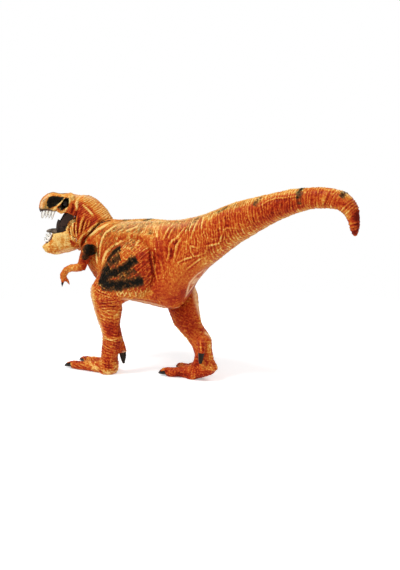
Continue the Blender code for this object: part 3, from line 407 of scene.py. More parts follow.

# %% [markdown]
# ## The folds
#
# The folds of the real sculpt are read off the picture, each as a few places along its crest,
# and laid on the skin where the camera sees them. Folds of the body are mirrored for the far side.

# %% Fold tables
FOLDS = {
    "heavy": (1.05, 1.45, [
        [(134, 235), (127, 238), (119, 243), (112, 247), (107, 252), (104, 258), (103, 264), (101, 269)],
        [(110, 223), (104, 226), (97, 230), (91, 235), (87, 239)],
        [(121, 223), (112, 228), (106, 233), (103, 238), (101, 246), (100, 254), (100, 262)],
        [(99, 221), (95, 225), (91, 229), (87, 233)],
        [(75, 213), (74.2, 217), (73, 224), (72.9, 230), (74.5, 237), (77.5, 243)],
        [(85, 213.3), (83, 218), (81.7, 222), (80, 230), (78.3, 237)],
        [(88, 229), (84, 234), (80.5, 238), (79, 243), (79, 247)],
        [(92, 230), (88, 234), (86, 238), (85, 243)],
        [(97, 240), (96, 250), (97, 260), (98, 266)],
    ]),
    "fold": (0.80, 1.0, [
        [(118, 228), (112, 232), (107, 237), (105, 243), (103, 250), (101, 258)],
        [(128, 227), (120, 231), (114, 236), (110, 241), (108, 246), (105, 252), (103, 258)],
        [(133, 229), (126, 232), (119, 236), (115, 240), (111, 245)],
        [(139, 226), (131, 229), (124, 232)],
        [(133, 234), (126, 236), (120, 240)],
        [(153, 226), (155, 230), (157, 235), (158, 241), (159, 248), (160, 256), (162, 266), (163, 271),
         (163.5, 277), (164, 283)],
        [(151.5, 244), (152, 250), (152.5, 256), (153.5, 262), (155, 268), (156, 274), (157.5, 280), (157.5, 287)],
        [(176, 225), (172, 230), (169, 236), (167.5, 242)],
        [(180, 236), (173, 240), (170, 243), (169, 248), (169, 254), (167.5, 260), (167, 265)],
        [(183, 233), (181, 238), (178, 243), (176, 248), (175, 254), (174, 260), (173, 264)],
        [(186, 226), (182, 231), (178, 236), (175, 239)],
        [(190, 223), (187, 229), (184, 234)],
        [(193, 222), (188, 232)],
        [(197, 221), (193, 232), (190, 240)],
        [(204, 216), (202, 224), (201, 232)],
        [(174, 223), (169, 228), (166, 233)],
        [(168, 229), (165, 235), (163, 240)],
        [(145, 230), (141, 233), (139.5, 238), (141, 243)],
        [(141, 238), (137, 243), (135, 249)],
        [(78.3, 208.3), (76.7, 218.3), (75.8, 228.3), (76.7, 236.7), (80, 242)],
        [(88.3, 216.7), (86.5, 220), (85, 224.2), (83, 232), (81, 238)],
        [(90, 219), (89, 224), (87, 228)],
        [(77.5, 200), (76.5, 203), (77, 207), (77.5, 210)],
        [(81, 203), (84, 206), (87, 209), (90, 212), (92.5, 215), (94, 218)],
        [(70, 226.5), (71, 232), (72, 238), (75, 243)],
        [(70, 197), (69.5, 201), (67, 206), (65, 211), (61, 214)],
        [(56, 206), (60, 203), (63.5, 199)],
        [(47, 209.5), (52, 210), (57, 207.5)],
        [(58.4, 207), (60.2, 209), (61.8, 211.5)],
        [(171, 318), (176, 327), (184, 335), (190, 343), (195, 350)],
        [(200, 340), (200.5, 346), (201, 352)],
    ]),
    "vein": (0.80, 0.72, [
        [(200, 255.5), (204, 254), (206, 250), (207, 246), (213, 245), (219, 243.5), (220.5, 240), (222, 235),
         (223, 231), (227, 228), (233, 228), (240, 227)],
        [(204, 254), (199, 255.5), (194, 256.5), (191, 252), (190, 246), (197, 248), (200, 247)],
        [(194, 257), (188, 258), (183, 260), (179, 262), (176, 264)],
        [(206, 257), (200, 259), (196, 262), (191, 266), (187, 269), (184, 271)],
        [(256, 208), (261, 205), (268, 200.5), (276, 198), (285, 197.5), (295, 196), (304, 196)],
        [(223, 231), (224, 222), (223, 215)],
    ]),
    "hatch": (0.55, 0.50, [
        [(110, 292), (113, 298)], [(116, 291), (119, 297.5)], [(122, 290), (125, 297)], [(128, 290), (131, 297.5)],
        [(134, 289), (137, 297)], [(140, 288), (143, 296.5)], [(146, 287), (148, 293)],
        [(94, 287), (100, 291), (108, 294), (118, 297)], [(95, 291.5), (105, 296), (116, 299)],
        [(97, 283), (104, 288), (112, 291)], [(121, 283), (124, 288)], [(128, 283), (131, 288)],
        [(98, 302), (108, 302), (119, 301)], [(98, 305.5), (109, 305), (120, 304.5)],
        [(99, 308.5), (110, 308), (121, 307.5)], [(102, 337.5), (111, 340.5), (121, 338)],
    ]),
}
FOLD_BOOST = 1.4
GROOVE_DEPTH = 0.9
GROOVE_WIDTH = 0.9
GROOVES = [
    [(111, 220), (104, 221), (100, 222.5), (96, 226.5)],
    [(122, 233), (117, 237), (112, 243)], [(131, 232), (126, 234.5), (121, 237)],
    [(104, 244), (102, 252), (101, 262)], [(79, 203), (78, 209), (76, 216), (74, 220)],
    [(74, 203), (73, 209), (71, 214)], [(150, 249), (150.5, 258), (152, 267), (153, 276)],
    [(156, 240), (157, 248), (157.5, 256), (159, 264)], [(171, 247), (171, 254), (170, 260)],
    [(178, 240), (173, 245)], [(74.6, 222), (74, 230), (75.5, 237)], [(78.5, 219), (77.6, 229), (77.6, 235)],
    [(84, 220), (82, 227), (81, 233)],
]
FOLD_LINES = {style: [line_on_skin(line) for line in lines] for style, (_, _, lines) in FOLDS.items()}
GROOVE_LINES = [line_on_skin(line) for line in GROOVES]
print("folds:", sum(len(lines) for lines in FOLD_LINES.values()), "grooves:", len(GROOVE_LINES))


def mirrored(line):
    return line * np.array((-1, 1, 1))


def mirrored_on_head(line):
    """The line reflected to the other cheek of the turned head."""
    out = (line - HINGE) @ HEAD_LEFT
    return line - 2 * out[:, None] * HEAD_LEFT


def both_sides(line, mirror):
    """The line alone, or with its mirror image where a mirror is given."""
    return (line,) if mirror is None else (line, mirror(line))


def fold_heights(points, mirror):
    """The highest crest over the deepest hollow at each point, uneven along the folds."""
    crests = np.zeros(len(points))
    hollows = np.zeros(len(points))
    uneven = 1 + 0.3 * noise(points, 4.5, 91) + 0.15 * noise(points, 1.8, 92)
    for style, lines in FOLD_LINES.items():
        height, width, _ = FOLDS[style]
        for line in lines:
            for laid in both_sides(line, mirror):
                stroke = height * FOLD_BOOST * stroke_mask(points, laid, width, taper=0.3, trough=0.5)
                crests = np.maximum(crests, stroke)
                hollows = np.minimum(hollows, stroke)
    for line in GROOVE_LINES:
        for laid in both_sides(line, mirror):
            hollows = np.minimum(hollows, -GROOVE_DEPTH * stroke_mask(points, laid, GROOVE_WIDTH))
    return (crests + hollows * (1 - np.clip(crests, 0, 1))) * uneven


# %% [markdown]
# ## The colours
#
# One number, the tone, runs from a deep red-brown over orange to a pale gold. It is sprayed on in soft
# layers, one after the other, as on the real figure, and it also carries painted light: a paler tone on
# faces that look up and under the tail, and painted shade on the upper arm. Soot is the black-green
# airbrush over it, and also the painted shade at the neck seam; rim light is painted pale light along the
# lit edges. Each stroke is its strength, its width and its line.

# %% Tones
TONES = {
    "trunk": [
        (0.70, 9, [(100, 240), (112, 232), (125, 228), (140, 226), (150, 228)]),
        (0.60, 5, [(97, 262), (98, 250), (100, 240)]),
        (0.78, 3.2, [(97, 229), (108, 223.5), (125, 223), (140, 223), (158, 224), (175, 222), (200, 218)]),
        (0.34, 6, [(150, 262), (160, 262), (170, 256)]),
        (0.26, 8, [(140, 272), (150, 283), (160, 290)]),
        (0.47, 8, [(172, 285), (185, 278), (195, 268), (205, 262)]),
        (0.22, 4, [(172, 300), (180, 298), (184, 292)]),
        (0.64, 5, [(205, 262), (220, 252), (235, 244), (250, 236)]),
        (0.48, 6, [(186, 250), (196, 240), (206, 236), (215, 232)]),
        (0.56, 6, [(180, 231), (192, 226), (204, 222)]),
        (0.36, 6, [(215, 228), (232, 218), (248, 213)]),
        (0.80, 3.2, [(205, 217), (222, 209), (240, 203), (260, 198), (280, 193), (298, 190)]),
        (0.30, 5.5, [(255, 216), (272, 210), (290, 205), (305, 202)]),
        (0.40, 7, [(312, 198), (325, 198), (338, 199)]),
        (0.36, 5, [(345, 203), (352, 212)]),
        (0.14, 5, [(356, 220), (356, 230), (355, 237)]),
        (0.60, 2.4, [(240, 238), (258, 230), (275, 222), (290, 215), (310, 208.5), (330, 208), (342, 210.5)]),
        (0.62, 2.2, [(342, 210), (348, 216), (350, 223)]),
    ],
    "thigh": [
        (0.62, 5, [(101, 268), (104, 256), (112, 247), (122, 241), (132, 236)]),
        (0.58, 7, [(122, 250), (135, 246)]),
        (0.26, 6, [(142, 262), (147, 275)]),
        (0.72, 3.5, [(113, 294), (128, 294.5), (142, 294), (150, 291)]),
        (0.40, 4, [(98, 292), (108, 297), (116, 300)]),
    ],
    "left_shin": [
        (0.74, 3.2, [(92, 290), (93.5, 304), (96, 313), (99, 321), (102, 330)]),
        (0.50, 5, [(108, 301), (114, 312)]),
        (0.26, 3, [(102, 305), (116, 306.5)]),
        (0.62, 4.5, [(103, 315), (112, 317)]),
        (0.45, 4, [(106, 323.5), (113, 323.5)]),
        (0.12, 4.6, [(110, 330), (113, 335)]),
        (0.70, 1.8, [(103, 338.5), (112, 340), (121, 338.5)]),
        (0.45, 4.5, [(106, 345), (110, 350)]),
        (0.20, 3.5, [(118, 345), (121, 350)]),
        (0.30, 4, [(109, 355), (110, 362)]),
        (0.42, 4, [(75, 363), (90, 363), (100, 366)]),
        (0.74, 3.0, [(104, 372), (112, 373.5), (118, 368)]),
        (0.56, 2, [(78, 366), (88, 366.5), (96, 368)]),
    ],
    "right_leg": [
        (0.27, 7, [(178, 313), (188, 325)]),
        (0.70, 2.0, [(195, 286), (197, 300), (200, 312), (201, 322)]),
        (0.50, 2.5, [(172, 315), (178, 328), (187, 337), (193, 347)]),
        (0.36, 4.5, [(201, 334), (205, 345), (204, 356)]),
        (0.72, 2.0, [(207, 333), (211, 337)]),
        (0.68, 2.0, [(210.5, 342), (209.5, 352), (211.5, 360)]),
        (0.70, 3.8, [(213, 367), (208, 370)]),
        (0.17, 4, [(162, 374), (176, 373), (190, 374)]),
        (0.30, 4, [(195, 362), (200, 372)]),
    ],
    "head": [
        (0.84, 6, [(84, 197), (92, 203), (100, 210), (107, 216)]),
        (0.62, 3, [(84, 206), (90, 212), (95, 217)]),
        (0.22, 3.2, [(79.5, 205), (78.5, 212), (77, 219)]),
        (0.36, 4, [(84, 217), (85, 222), (84, 228)]),
        (0.30, 3.5, [(91, 223), (95, 220)]),
        (0.36, 4, [(79, 232), (82, 240)]),
        (0.78, 4, [(44, 200), (44, 207), (50, 211)]),
        (0.62, 2.4, [(50, 193), (58, 193), (66, 195)]),
        (0.84, 2.0, [(42, 211), (52, 212.5), (60, 215.5), (66, 214)]),
        (0.84, 1.4, [(55, 207), (59, 204), (63.5, 199.5)]),
        (0.80, 1.4, [(70, 196), (70, 202), (67.5, 207)]),
        (0.42, 2.0, [(73, 205), (72.5, 211)]),
        (0.90, 1.8, [(71, 194), (72.5, 198.5)]),
        (0.92, 1.6, [(77.5, 200), (76.5, 204), (77, 209)]),
    ],
    "jaw": [
        (0.82, 3, [(45, 246), (51, 249), (56, 251)]),
        (0.96, 3.5, [(58, 238), (64, 243), (68, 245)]),
        (0.40, 1.6, [(72, 242), (74, 245)]),
    ],
    "arm": [
        # Painted shade: the upper arm under the shoulder is dark.
        (0.18, 4, [(87, 258), (85, 266), (88, 271)]),
        (0.66, 3, [(78, 267), (70, 268), (65, 274)]),
    ],
}
print("tones:", {region: len(table) for region, table in TONES.items()})

# %% Soot, and painted shade at the neck seam
SOOT = [
    (0.27, 9, [(99, 240), (108, 234), (120, 229), (134, 227), (146, 229)]),
    (0.25, 7, [(108, 252), (120, 245), (136, 242)]),
    (0.24, 3, [(112, 223), (140, 223), (180, 222), (208, 215), (235, 205), (250, 201)]),
    (0.22, 4, [(168, 230), (185, 226)]),
    (0.24, 1.6, [(44, 211), (52, 212), (58, 214)]),
    (0.20, 5, [(46, 249), (54, 250), (66, 246)]),
    (1.0, 4.6, [(89, 244), (90, 250), (90, 256)]),
    (0.8, 2.6, [(86, 256), (84, 260)]),
    (0.95, 2.6, [(121, 247), (115, 251), (110, 256), (107, 262)]),
    (1.0, 2.8, [(137, 258), (131, 262), (126, 267), (119, 271), (111, 274), (104, 276)]),
    (1.0, 3.2, [(99, 279), (106, 284), (116, 285), (127, 284), (137, 282), (144, 280)]),
    (0.8, 2.4, [(101, 286), (110, 288), (122, 288)]),
    (0.7, 3.4, [(109, 264), (115, 260), (120, 256)]),
    (0.95, 6.0, [(102, 280), (106, 273), (110, 268)]),
    (0.50, 4.0, [(118, 276), (128, 274), (134, 268)]),
    (0.36, 1.8, [(148, 229), (151, 235)]),
    (0.30, 1.6, [(158, 223), (168, 222)]),
    (0.38, 2.4, [(200, 216), (193, 222), (186, 229)]),
    (0.42, 2.2, [(228, 206), (223, 208.5), (217, 213)]),
    (0.46, 2.2, [(260, 196.5), (257, 200), (254, 206)]),
    (0.66, 1.9, [(302.5, 186.5), (299, 192), (298, 199)]),
    (0.34, 2.0, [(298, 197), (300, 205)]),
    (0.54, 2.2, [(347, 191), (343, 194), (340.5, 197.5)]),
    (0.34, 2.4, [(44, 199), (45, 204), (46, 208)]),
]
# Painted shade in the gap of the neck seam, stored with the soot.
SEAM_SHADE = [(0.95, 0.8, [(111, 220), (104, 221), (100, 222.5), (96, 226.5), (92, 230.5), (88, 235), (86, 239),
                           (84.5, 243)])]
SNOUT_CREST = [(0.55, 1.7, [(50, 193.5), (57, 193), (64, 194.5)])]
print("soot strokes:", len(SOOT))

# %% [markdown]
# The two pits of the head have crisp edges, as if sprayed through a stencil. A soft stroke would blur
# them, so each is an outline in the picture, and a point is sprayed where it is seen inside it.

# %% Stencils
SNOUT_PIT = [(46.7, 203), (47.3, 199.8), (49, 197), (52.5, 196), (57, 196), (61, 196.7), (64.3, 197.3), (62.5, 200),
             (59.5, 203), (56, 205.5), (52, 207.5), (49, 208), (47.2, 206.5)]
EYE_PIT = [(66, 197.3), (68.6, 198.2), (69, 202), (68, 205.5), (66, 208), (63.5, 209.5), (61, 211), (59.3, 209.3),
           (57.2, 207.3), (59.5, 205.5), (62.5, 202.5), (64, 199.5)]
print("corners:", len(SNOUT_PIT), len(EYE_PIT))

# %% Painted rim light and saddles
# Painted rim light and highlights: pale strokes along the lit edges of body, head, jaw and legs, and along the top
# of the back.
RIM_LIGHT = [
    (0.85, 0.7, [(205, 269), (199, 273.5), (194, 278), (190, 283), (188, 289), (186.5, 296), (184, 303), (179, 308),
                 (172, 309.5)]),
    (0.70, 1.6, [(196, 278.5), (192.5, 284)]),
    (0.22, 2.4, [(116, 226), (135, 225), (160, 225), (180, 224), (200, 220.5)]),
    (0.45, 1.6, [(76, 193.5), (84, 194.5), (92, 198.5)]),
    (0.75, 0.9, [(122, 299), (135, 300.5), (150, 303), (160, 306), (168, 308)]),
    (0.70, 1.1, [(57, 253.5), (66, 250.5), (75, 250), (82, 250.5)]),
    (0.60, 1.2, [(91.5, 285), (91, 292), (92.5, 303), (94.5, 312), (98, 320), (101, 328), (102.5, 336)]),
    (0.70, 1.0, [(49, 194), (45, 198), (41.5, 203), (41, 209)]),
    (0.50, 1.2, [(118, 222.5), (140, 222), (160, 221), (185, 219.5), (200, 216.5), (215, 210)]),
    (0.80, 0.8, [(122.5, 352.5), (126, 352)]),
    (0.50, 0.9, [(104, 374.5), (112, 375), (118, 370)]),
]
# Painted rim light along the edges of the far leg.
REAR_RIM_LIGHT = [
    (0.70, 1.3, [(195, 280), (194.5, 290), (196.5, 300), (198.5, 310), (201, 318)]),
    (0.70, 0.9, [(205, 332.5), (209, 335), (211.5, 339)]),
]


SADDLES = [(127, 219.5), (148, 219.2)]
SADDLE_STRENGTH = 0.6
SADDLE_WIDTH = 3.0
SADDLE_REACH = 3


def laid_table(table):
    return [(value, width, line_on_skin(line)) for value, width, line in table]


def laid_saddle(place):
    """A soft dark saddle across the ridge of the back."""
    _, y, z = on_skin(*place)
    across = [(side * SADDLE_REACH, y, z) for side in (-1, 0, 1)]
    return SADDLE_STRENGTH, SADDLE_WIDTH, np.array(across, float)


TONES = {region: laid_table(table) for region, table in TONES.items()}
SOOT, SEAM_SHADE, RIM_LIGHT, REAR_RIM_LIGHT = (laid_table(table) for table in (SOOT, SEAM_SHADE, RIM_LIGHT, REAR_RIM_LIGHT))
SNOUT_CREST = [(value, width, line - ((line - HINGE) @ HEAD_LEFT)[:, None] * HEAD_LEFT)
               for value, width, line in laid_table(SNOUT_CREST)]
SADDLES = [laid_saddle(place) for place in SADDLES]
print("cream strokes:", len(RIM_LIGHT) + len(REAR_RIM_LIGHT), "saddles:", len(SADDLES))


# %% Helpers for spraying
def spray(points, tones, table, mirror=None):
    """Lays soft strokes of a tone over the tones so far."""
    wander = 1 + 0.22 * noise(points, 3.5, 31)
    for value, width, line in table:
        for laid in both_sides(line, mirror):
            mask = stroke_mask(points, laid, width * 1.15, taper=0, flat=1.4)
            tones = tones + (value - tones) * np.clip(mask * wander, 0, 1)
    return tones


def mist(points, table, mirror=None, taper=0.05):
    """The strongest of a set of soft strokes."""
    total = np.zeros(len(points))
    for value, width, line in table:
        for laid in both_sides(line, mirror):
            total = np.maximum(total, value * stroke_mask(points, laid, width * 1.35, taper=taper))
    return total * (1 + 0.25 * noise(points, 1.1, 41) + 0.25 * noise(points, 2.6, 42))


def picture_places(points):
    """Where each point stands in the 400 by 570 picture."""
    sight = points - np.array(CAMERA_FROM_HIP) / MM
    depth = sight @ np.array(CAMERA_AHEAD)
    across = PICTURE_MIDDLE[0] + FOCAL_PIXELS * (sight @ np.array(CAMERA_RIGHT)) / depth
    down = PICTURE_MIDDLE[1] - FOCAL_PIXELS * (sight @ np.array(CAMERA_UP)) / depth
    return np.stack([across, down], axis=1)


def stencil(points, corners, soft):
    """1 inside an outline of the picture, with an edge that fades over some pixels either side."""
    places = picture_places(points)
    corners = np.array(corners, float)
    inside = np.zeros(len(points), bool)
    gap = np.full(len(points), 1e9)
    for start, end in zip(corners, np.roll(corners, -1, axis=0)):
        step = end - start
        share = np.clip((places - start) @ step / (step @ step), 0, 1)
        gap = np.minimum(gap, np.linalg.norm(places - start - share[:, None] * step, axis=1))
        if start[1] != end[1]:
            crossing = start[0] + (places[:, 1] - start[1]) * step[0] / step[1]
            inside ^= ((start[1] > places[:, 1]) != (end[1] > places[:, 1])) & (places[:, 0] < crossing)
    return ramp(np.where(inside, gap, -gap), -soft, soft)


print("the hip axis is seen at", picture_places(np.zeros((1, 3))).round(1).tolist())

# %% [markdown]
# ## Paint
#
# One group of nodes mixes the colours from the attributes for tone, relief, soot and seam shade, rim light
# and claws, so that every moulding wears the same paint: raised skin is dry-brushed lighter, and the
# wash stays dark in the creases. The soot value also carries painted shade, and the rim light is painted
# light on the edges.

# %% Helpers for nodes
def link_or_set(tree, socket, value):
    if isinstance(value, bpy.types.NodeSocket):
        tree.links.new(value, socket)
    elif isinstance(value, tuple):
        socket.default_value = (*value, 1)
    else:
        socket.default_value = value


def colour_mix(tree, below, above, factor):
    """Lays one colour over another by a factor, and returns the new colour's socket."""
    mix = tree.nodes.new("ShaderNodeMix")
    mix.data_type = "RGBA"
    for socket, value in ((mix.inputs[0], factor), (mix.inputs[6], below), (mix.inputs[7], above)):
        link_or_set(tree, socket, value)
    return mix.outputs[2]


def read_value(tree, name):
    node = tree.nodes.new("ShaderNodeAttribute")
    node.attribute_name = name
    return node.outputs["Fac"]


def curve_value(tree, value, low, high, top=1.0, bottom=0.0):
    """A smooth step between two values."""
    node = tree.nodes.new("ShaderNodeMapRange")
    node.interpolation_type = "SMOOTHSTEP"
    tree.links.new(value, node.inputs["Value"])
    node.inputs["From Min"].default_value = low
    node.inputs["From Max"].default_value = high
    node.inputs["To Min"].default_value = bottom
    node.inputs["To Max"].default_value = top
    return node.outputs["Result"]


def reckon(tree, kind, first, second):
    node = tree.nodes.new("ShaderNodeMath")
    node.operation = kind
    link_or_set(tree, node.inputs[0], first)
    link_or_set(tree, node.inputs[1], second)
    return node.outputs[0]


def speckle(tree, scale, detail=3.0):
    """Fine noise on Object coordinates, between 0 and 1."""
    coordinates = tree.nodes.new("ShaderNodeTexCoord")
    node = tree.nodes.new("ShaderNodeTexNoise")
    node.inputs["Scale"].default_value = scale
    node.inputs["Detail"].default_value = detail
    tree.links.new(coordinates.outputs["Object"], node.inputs["Vector"])
    return node.outputs["Fac"]


# %% Vinyl paint
TONE_COLOURS = [
    (0.00, (0.150, 0.007, 0.002)),
    (0.14, (0.250, 0.013, 0.003)),
    (0.28, (0.350, 0.026, 0.005)),
    (0.45, (0.470, 0.068, 0.010)),
    (0.60, (0.540, 0.130, 0.017)),
    (0.75, (0.620, 0.225, 0.032)),
    (0.88, (0.700, 0.350, 0.075)),
    (1.00, (0.800, 0.520, 0.170)),
]
# Colour of the painted rim light.
RIM_LIGHT_COLOUR = (0.84, 0.56, 0.31)
OLIVE_COLOUR = (0.034, 0.030, 0.010)
# Black of the airbrush, also used for the painted shade at the neck seam.
SOOT_AND_SHADE_COLOUR = (0.003, 0.003, 0.002)
CLAW_COLOUR = (0.004, 0.003, 0.003)
MOUTH_COLOUR = (0.045, 0.027, 0.022)
# Colour of the dark wash at the tooth roots and of the painted shade between the teeth.
WASH_AND_SHADE_COLOUR = (0.16, 0.06, 0.025)
WARM_GLINT = (1, 0.8, 0.6, 1)


def tone_ramp(tree, value):
    node = tree.nodes.new("ShaderNodeValToRGB")
    stops = node.color_ramp.elements
    for index, (place, colour) in enumerate(TONE_COLOURS):
        stop = stops[index] if index < 2 else stops.new(place)
        stop.position = place
        stop.color = (*colour, 1)
    tree.links.new(value, node.inputs["Fac"])
    return node.outputs["Color"]


def vinyl_paint(name):
    finish, tree, shader = new_finish(name)
    fine = speckle(tree, 520, 4)
    broad = speckle(tree, 60, 3)
    relief = read_value(tree, "relief")
    tone = reckon(tree, "ADD", read_value(tree, "tone"), curve_value(tree, relief, 0.05, 0.95, 0.44, -0.36))
    tone = reckon(tree, "ADD", tone, curve_value(tree, fine, 0.3, 0.7, 0.08, -0.08))
    tone = reckon(tree, "ADD", tone, curve_value(tree, broad, 0.35, 0.65, 0.05, -0.05))
    flecks = speckle(tree, 700, 1)
    tone = reckon(tree, "ADD", tone, curve_value(tree, flecks, 0.58, 0.70, 0.22))
    tone = reckon(tree, "SUBTRACT", tone, curve_value(tree, flecks, 0.42, 0.30, 0.16))
    colour = tone_ramp(tree, tone)
    # Painted rim light: the pale edges are laid over the tone.
    cream = reckon(tree, "MULTIPLY", read_value(tree, "cream"), curve_value(tree, fine, 0.25, 0.5, 1, 0.7))
    colour = colour_mix(tree, colour, RIM_LIGHT_COLOUR, cream)
    # Soot airbrush and painted seam shade, rubbed off the raised skin.
    airbrush_and_shade = reckon(tree, "ADD", read_value(tree, "soot"), curve_value(tree, fine, 0.3, 0.7, 0.12, -0.12))
    airbrush_and_shade = reckon(tree, "SUBTRACT", airbrush_and_shade, curve_value(tree, relief, 0.60, 0.95, 0.30))
    airbrush_and_shade = reckon(tree, "SUBTRACT", airbrush_and_shade, curve_value(tree, flecks, 0.56, 0.68, 0.16))
    colour = colour_mix(tree, colour, OLIVE_COLOUR, curve_value(tree, airbrush_and_shade, 0.05, 0.55, 0.80))
    colour = colour_mix(tree, colour, SOOT_AND_SHADE_COLOUR, curve_value(tree, airbrush_and_shade, 0.28, 0.90))
    colour = colour_mix(tree, colour, MOUTH_COLOUR, read_value(tree, "mouth"))
    claw = curve_value(tree, read_value(tree, "claw"), 0.45, 0.55)
    colour = colour_mix(tree, colour, CLAW_COLOUR, claw)
    tree.links.new(colour, shader.inputs["Base Color"])
    polish = reckon(tree, "MULTIPLY", claw, 0.24)
    dull = reckon(tree, "SUBTRACT", curve_value(tree, fine, 0.3, 0.7, 0.50, 0.38), polish)
    tree.links.new(dull, shader.inputs["Roughness"])
    tree.links.new(curve_value(tree, claw, 0, 1, 0.26, 0.10), shader.inputs["Specular IOR Level"])
    shader.inputs["Specular Tint"].default_value = WARM_GLINT
    bump = tree.nodes.new("ShaderNodeBump")
    bump.inputs["Strength"].default_value = 0.4
    bump.inputs["Distance"].default_value = 0.0002
    tree.links.new(speckle(tree, 1100, 2), bump.inputs["Height"])
    tree.links.new(bump.outputs[0], shader.inputs["Normal"])
    return finish


# %% Finishes of the small parts
def plain_finish(name, colour, roughness, coat=0.0, worn=None, gloss=0.5, grain=350):
    """A small part's finish, with a little speckle in its colour."""
    finish, tree, shader = new_finish(name)
    worn = worn or tuple(value * 0.7 for value in colour)
    tinted = colour_mix(tree, colour, worn, curve_value(tree, speckle(tree, grain, 3), 0.4, 0.7, 0.8))
    tree.links.new(tinted, shader.inputs["Base Color"])
    tree.links.new(curve_value(tree, speckle(tree, 500, 2), 0.3, 0.7, roughness * 1.2, roughness * 0.85),
                   shader.inputs["Roughness"])
    shader.inputs["Coat Weight"].default_value = coat
    shader.inputs["Specular IOR Level"].default_value = gloss
    return finish


def tooth_paint():
    """White teeth with a dark wash at their roots, and painted shade on the sides that face the next tooth."""
    finish = plain_finish("tooth_white", (0.88, 0.87, 0.82), 0.30, 0.1, (0.80, 0.76, 0.64))
    tree = finish.node_tree
    shader = tree.nodes["Principled BSDF"]
    white = shader.inputs["Base Color"].links[0].from_socket
    tree.links.new(colour_mix(tree, white, WASH_AND_SHADE_COLOUR, read_value(tree, "wash_and_shade")), shader.inputs["Base Color"])
    return finish


SKIN_PAINT = vinyl_paint("painted_vinyl")
TOOTH_WHITE = tooth_paint()
MOUTH_DARK = plain_finish("mouth_dark", (0.018, 0.011, 0.009), 0.6, 0, (0.14, 0.09, 0.07), 0.2, 220)
TONGUE_DARK = plain_finish("tongue_dark", (0.20, 0.15, 0.11), 0.35, 0.1, (0.025, 0.018, 0.014), 0.3, 200)
EYE_GLOSS = plain_finish("eye_gloss", (0.005, 0.004, 0.003), 0.14, 0, (0.012, 0.008, 0.004), 0.22)
PEG_BLACK = plain_finish("peg_black", (0.04, 0.04, 0.04), 0.5)
PIN_STEEL = plain_finish("pin_steel", (0.55, 0.55, 0.57), 0.30)
PIN_STEEL.node_tree.nodes["Principled BSDF"].inputs["Metallic"].default_value = 1
print("finishes:", len(bpy.data.materials))

# %% [markdown]
# ## The body and tail
#
# On the real figure the skin of the body runs in long folds from the back down to the thigh, and the
# tail is ringed by close creases. Rings need a coordinate along the body, so a line is laid through
# the middle of body and tail, and each point of the skin knows how far along it lies.

# %% Body coordinates
SPINE = [(0, -52, 20), (0, -30, 14), (0, 0, 8), (0, 25, 10), (0, 50, 20), (0, 75, 32), (0, 100, 42),
         (0, 125, 51), (0, 145, 55), (0, 158, 55), (0, 168, 51), (0, 175, 44), (0, 178, 34), (0, 178, 26)]


def along_spine(points):
    """Millimetres along the body's middle line, and millimetres round it from the top."""
    line = np.array(SPINE, float)
    flat = points * np.array((0, 1, 1))
    _, share = near_line(flat, line)
    marks = np.concatenate([[0], np.cumsum(np.linalg.norm(np.diff(line, axis=0), axis=1))])
    along = share * marks[-1]
    middle_y = np.interp(along, marks, line[:, 1])
    middle_z = np.interp(along, marks, line[:, 2])
    ahead = np.gradient(line, axis=0)
    ahead_y = np.interp(along, marks, ahead[:, 1])
    ahead_z = np.interp(along, marks, ahead[:, 2])
    length = np.hypot(ahead_y, ahead_z)
    height = ((points[:, 2] - middle_z) * ahead_y - (points[:, 1] - middle_y) * ahead_z) / length
    radius = np.hypot(height, points[:, 0])
    return along, np.arctan2(np.abs(points[:, 0]), height) * radius


def dress_skin(obj, body, node, finish=SKIN_PAINT):
    """Gives a finished skin its paint and its place on the frame."""
    obj.data.materials.append(finish)
    select_only(obj)
    bpy.ops.object.shade_smooth()
    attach(obj, body)
    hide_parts(node)
    print(obj.name, "has", len(obj.data.polygons), "faces")


def finish_skin(skin, points, normals, heights, **paint):
    """Presses the heights in, and stores what the paint reads."""
    write_points(skin, points + normals * heights[:, None])
    keep_values(skin, "relief", 0.5 + paint.get("washed", heights) * 0.85)
    for name in ("tone", "soot", "cream", "claw", "mouth"):
        keep_values(skin, name, paint.get(name, np.zeros(len(points))))


TAIL_END = along_spine(np.array(SPINE[-1:], float))[0]
print("the middle line is", round(float(TAIL_END[0]), 1), "mm long")

# %% Torso skin
# How far the creases lean forward on their way down, at places along the body.
SWEEP_PLACES = (0, 40, 58, 72, 90, 110, 150, 230)
SWEEPS = (0.9, 0.8, 0.05, 0.0, 0.45, 0.35, 0.15, 0.0)
# The flanks reach out to HIP_PAD, and nothing on them passes the flat faces of the legs.
HIP_PAD = 17.5
LEG_PLANE = 17.65
SEAM_WAY = np.array((0, 0.772, -0.635))
SMOOTH_BELLY = line_on_skin([(170, 294), (184, 281), (198, 268)])


def torso_softness(points):
    """Full on the body, less on the thin tip of the tail."""
    return 1 - 0.75 * ramp(along_spine(points)[0], 205, 235)


def near_side(points):
    """The points, with those of the far side mirrored to the near one."""
    return np.stack([np.abs(points[:, 0]), points[:, 1], points[:, 2]], axis=1)


def hip_pads(points):
    """Fills the flanks out to the rims of the thighs, so that thigh and body flow together."""
    reach = np.hypot(points[:, 1], points[:, 2])
    share = (1 - ramp(reach, 25, 38)) * ramp(np.abs(points[:, 0]), 12.4, 13.2)
    out = np.maximum(np.abs(points[:, 0]), HIP_PAD)
    filled = points.copy()
    filled[:, 0] = np.sign(points[:, 0]) * (np.abs(points[:, 0]) * (1 - share) + out * share)
    return filled


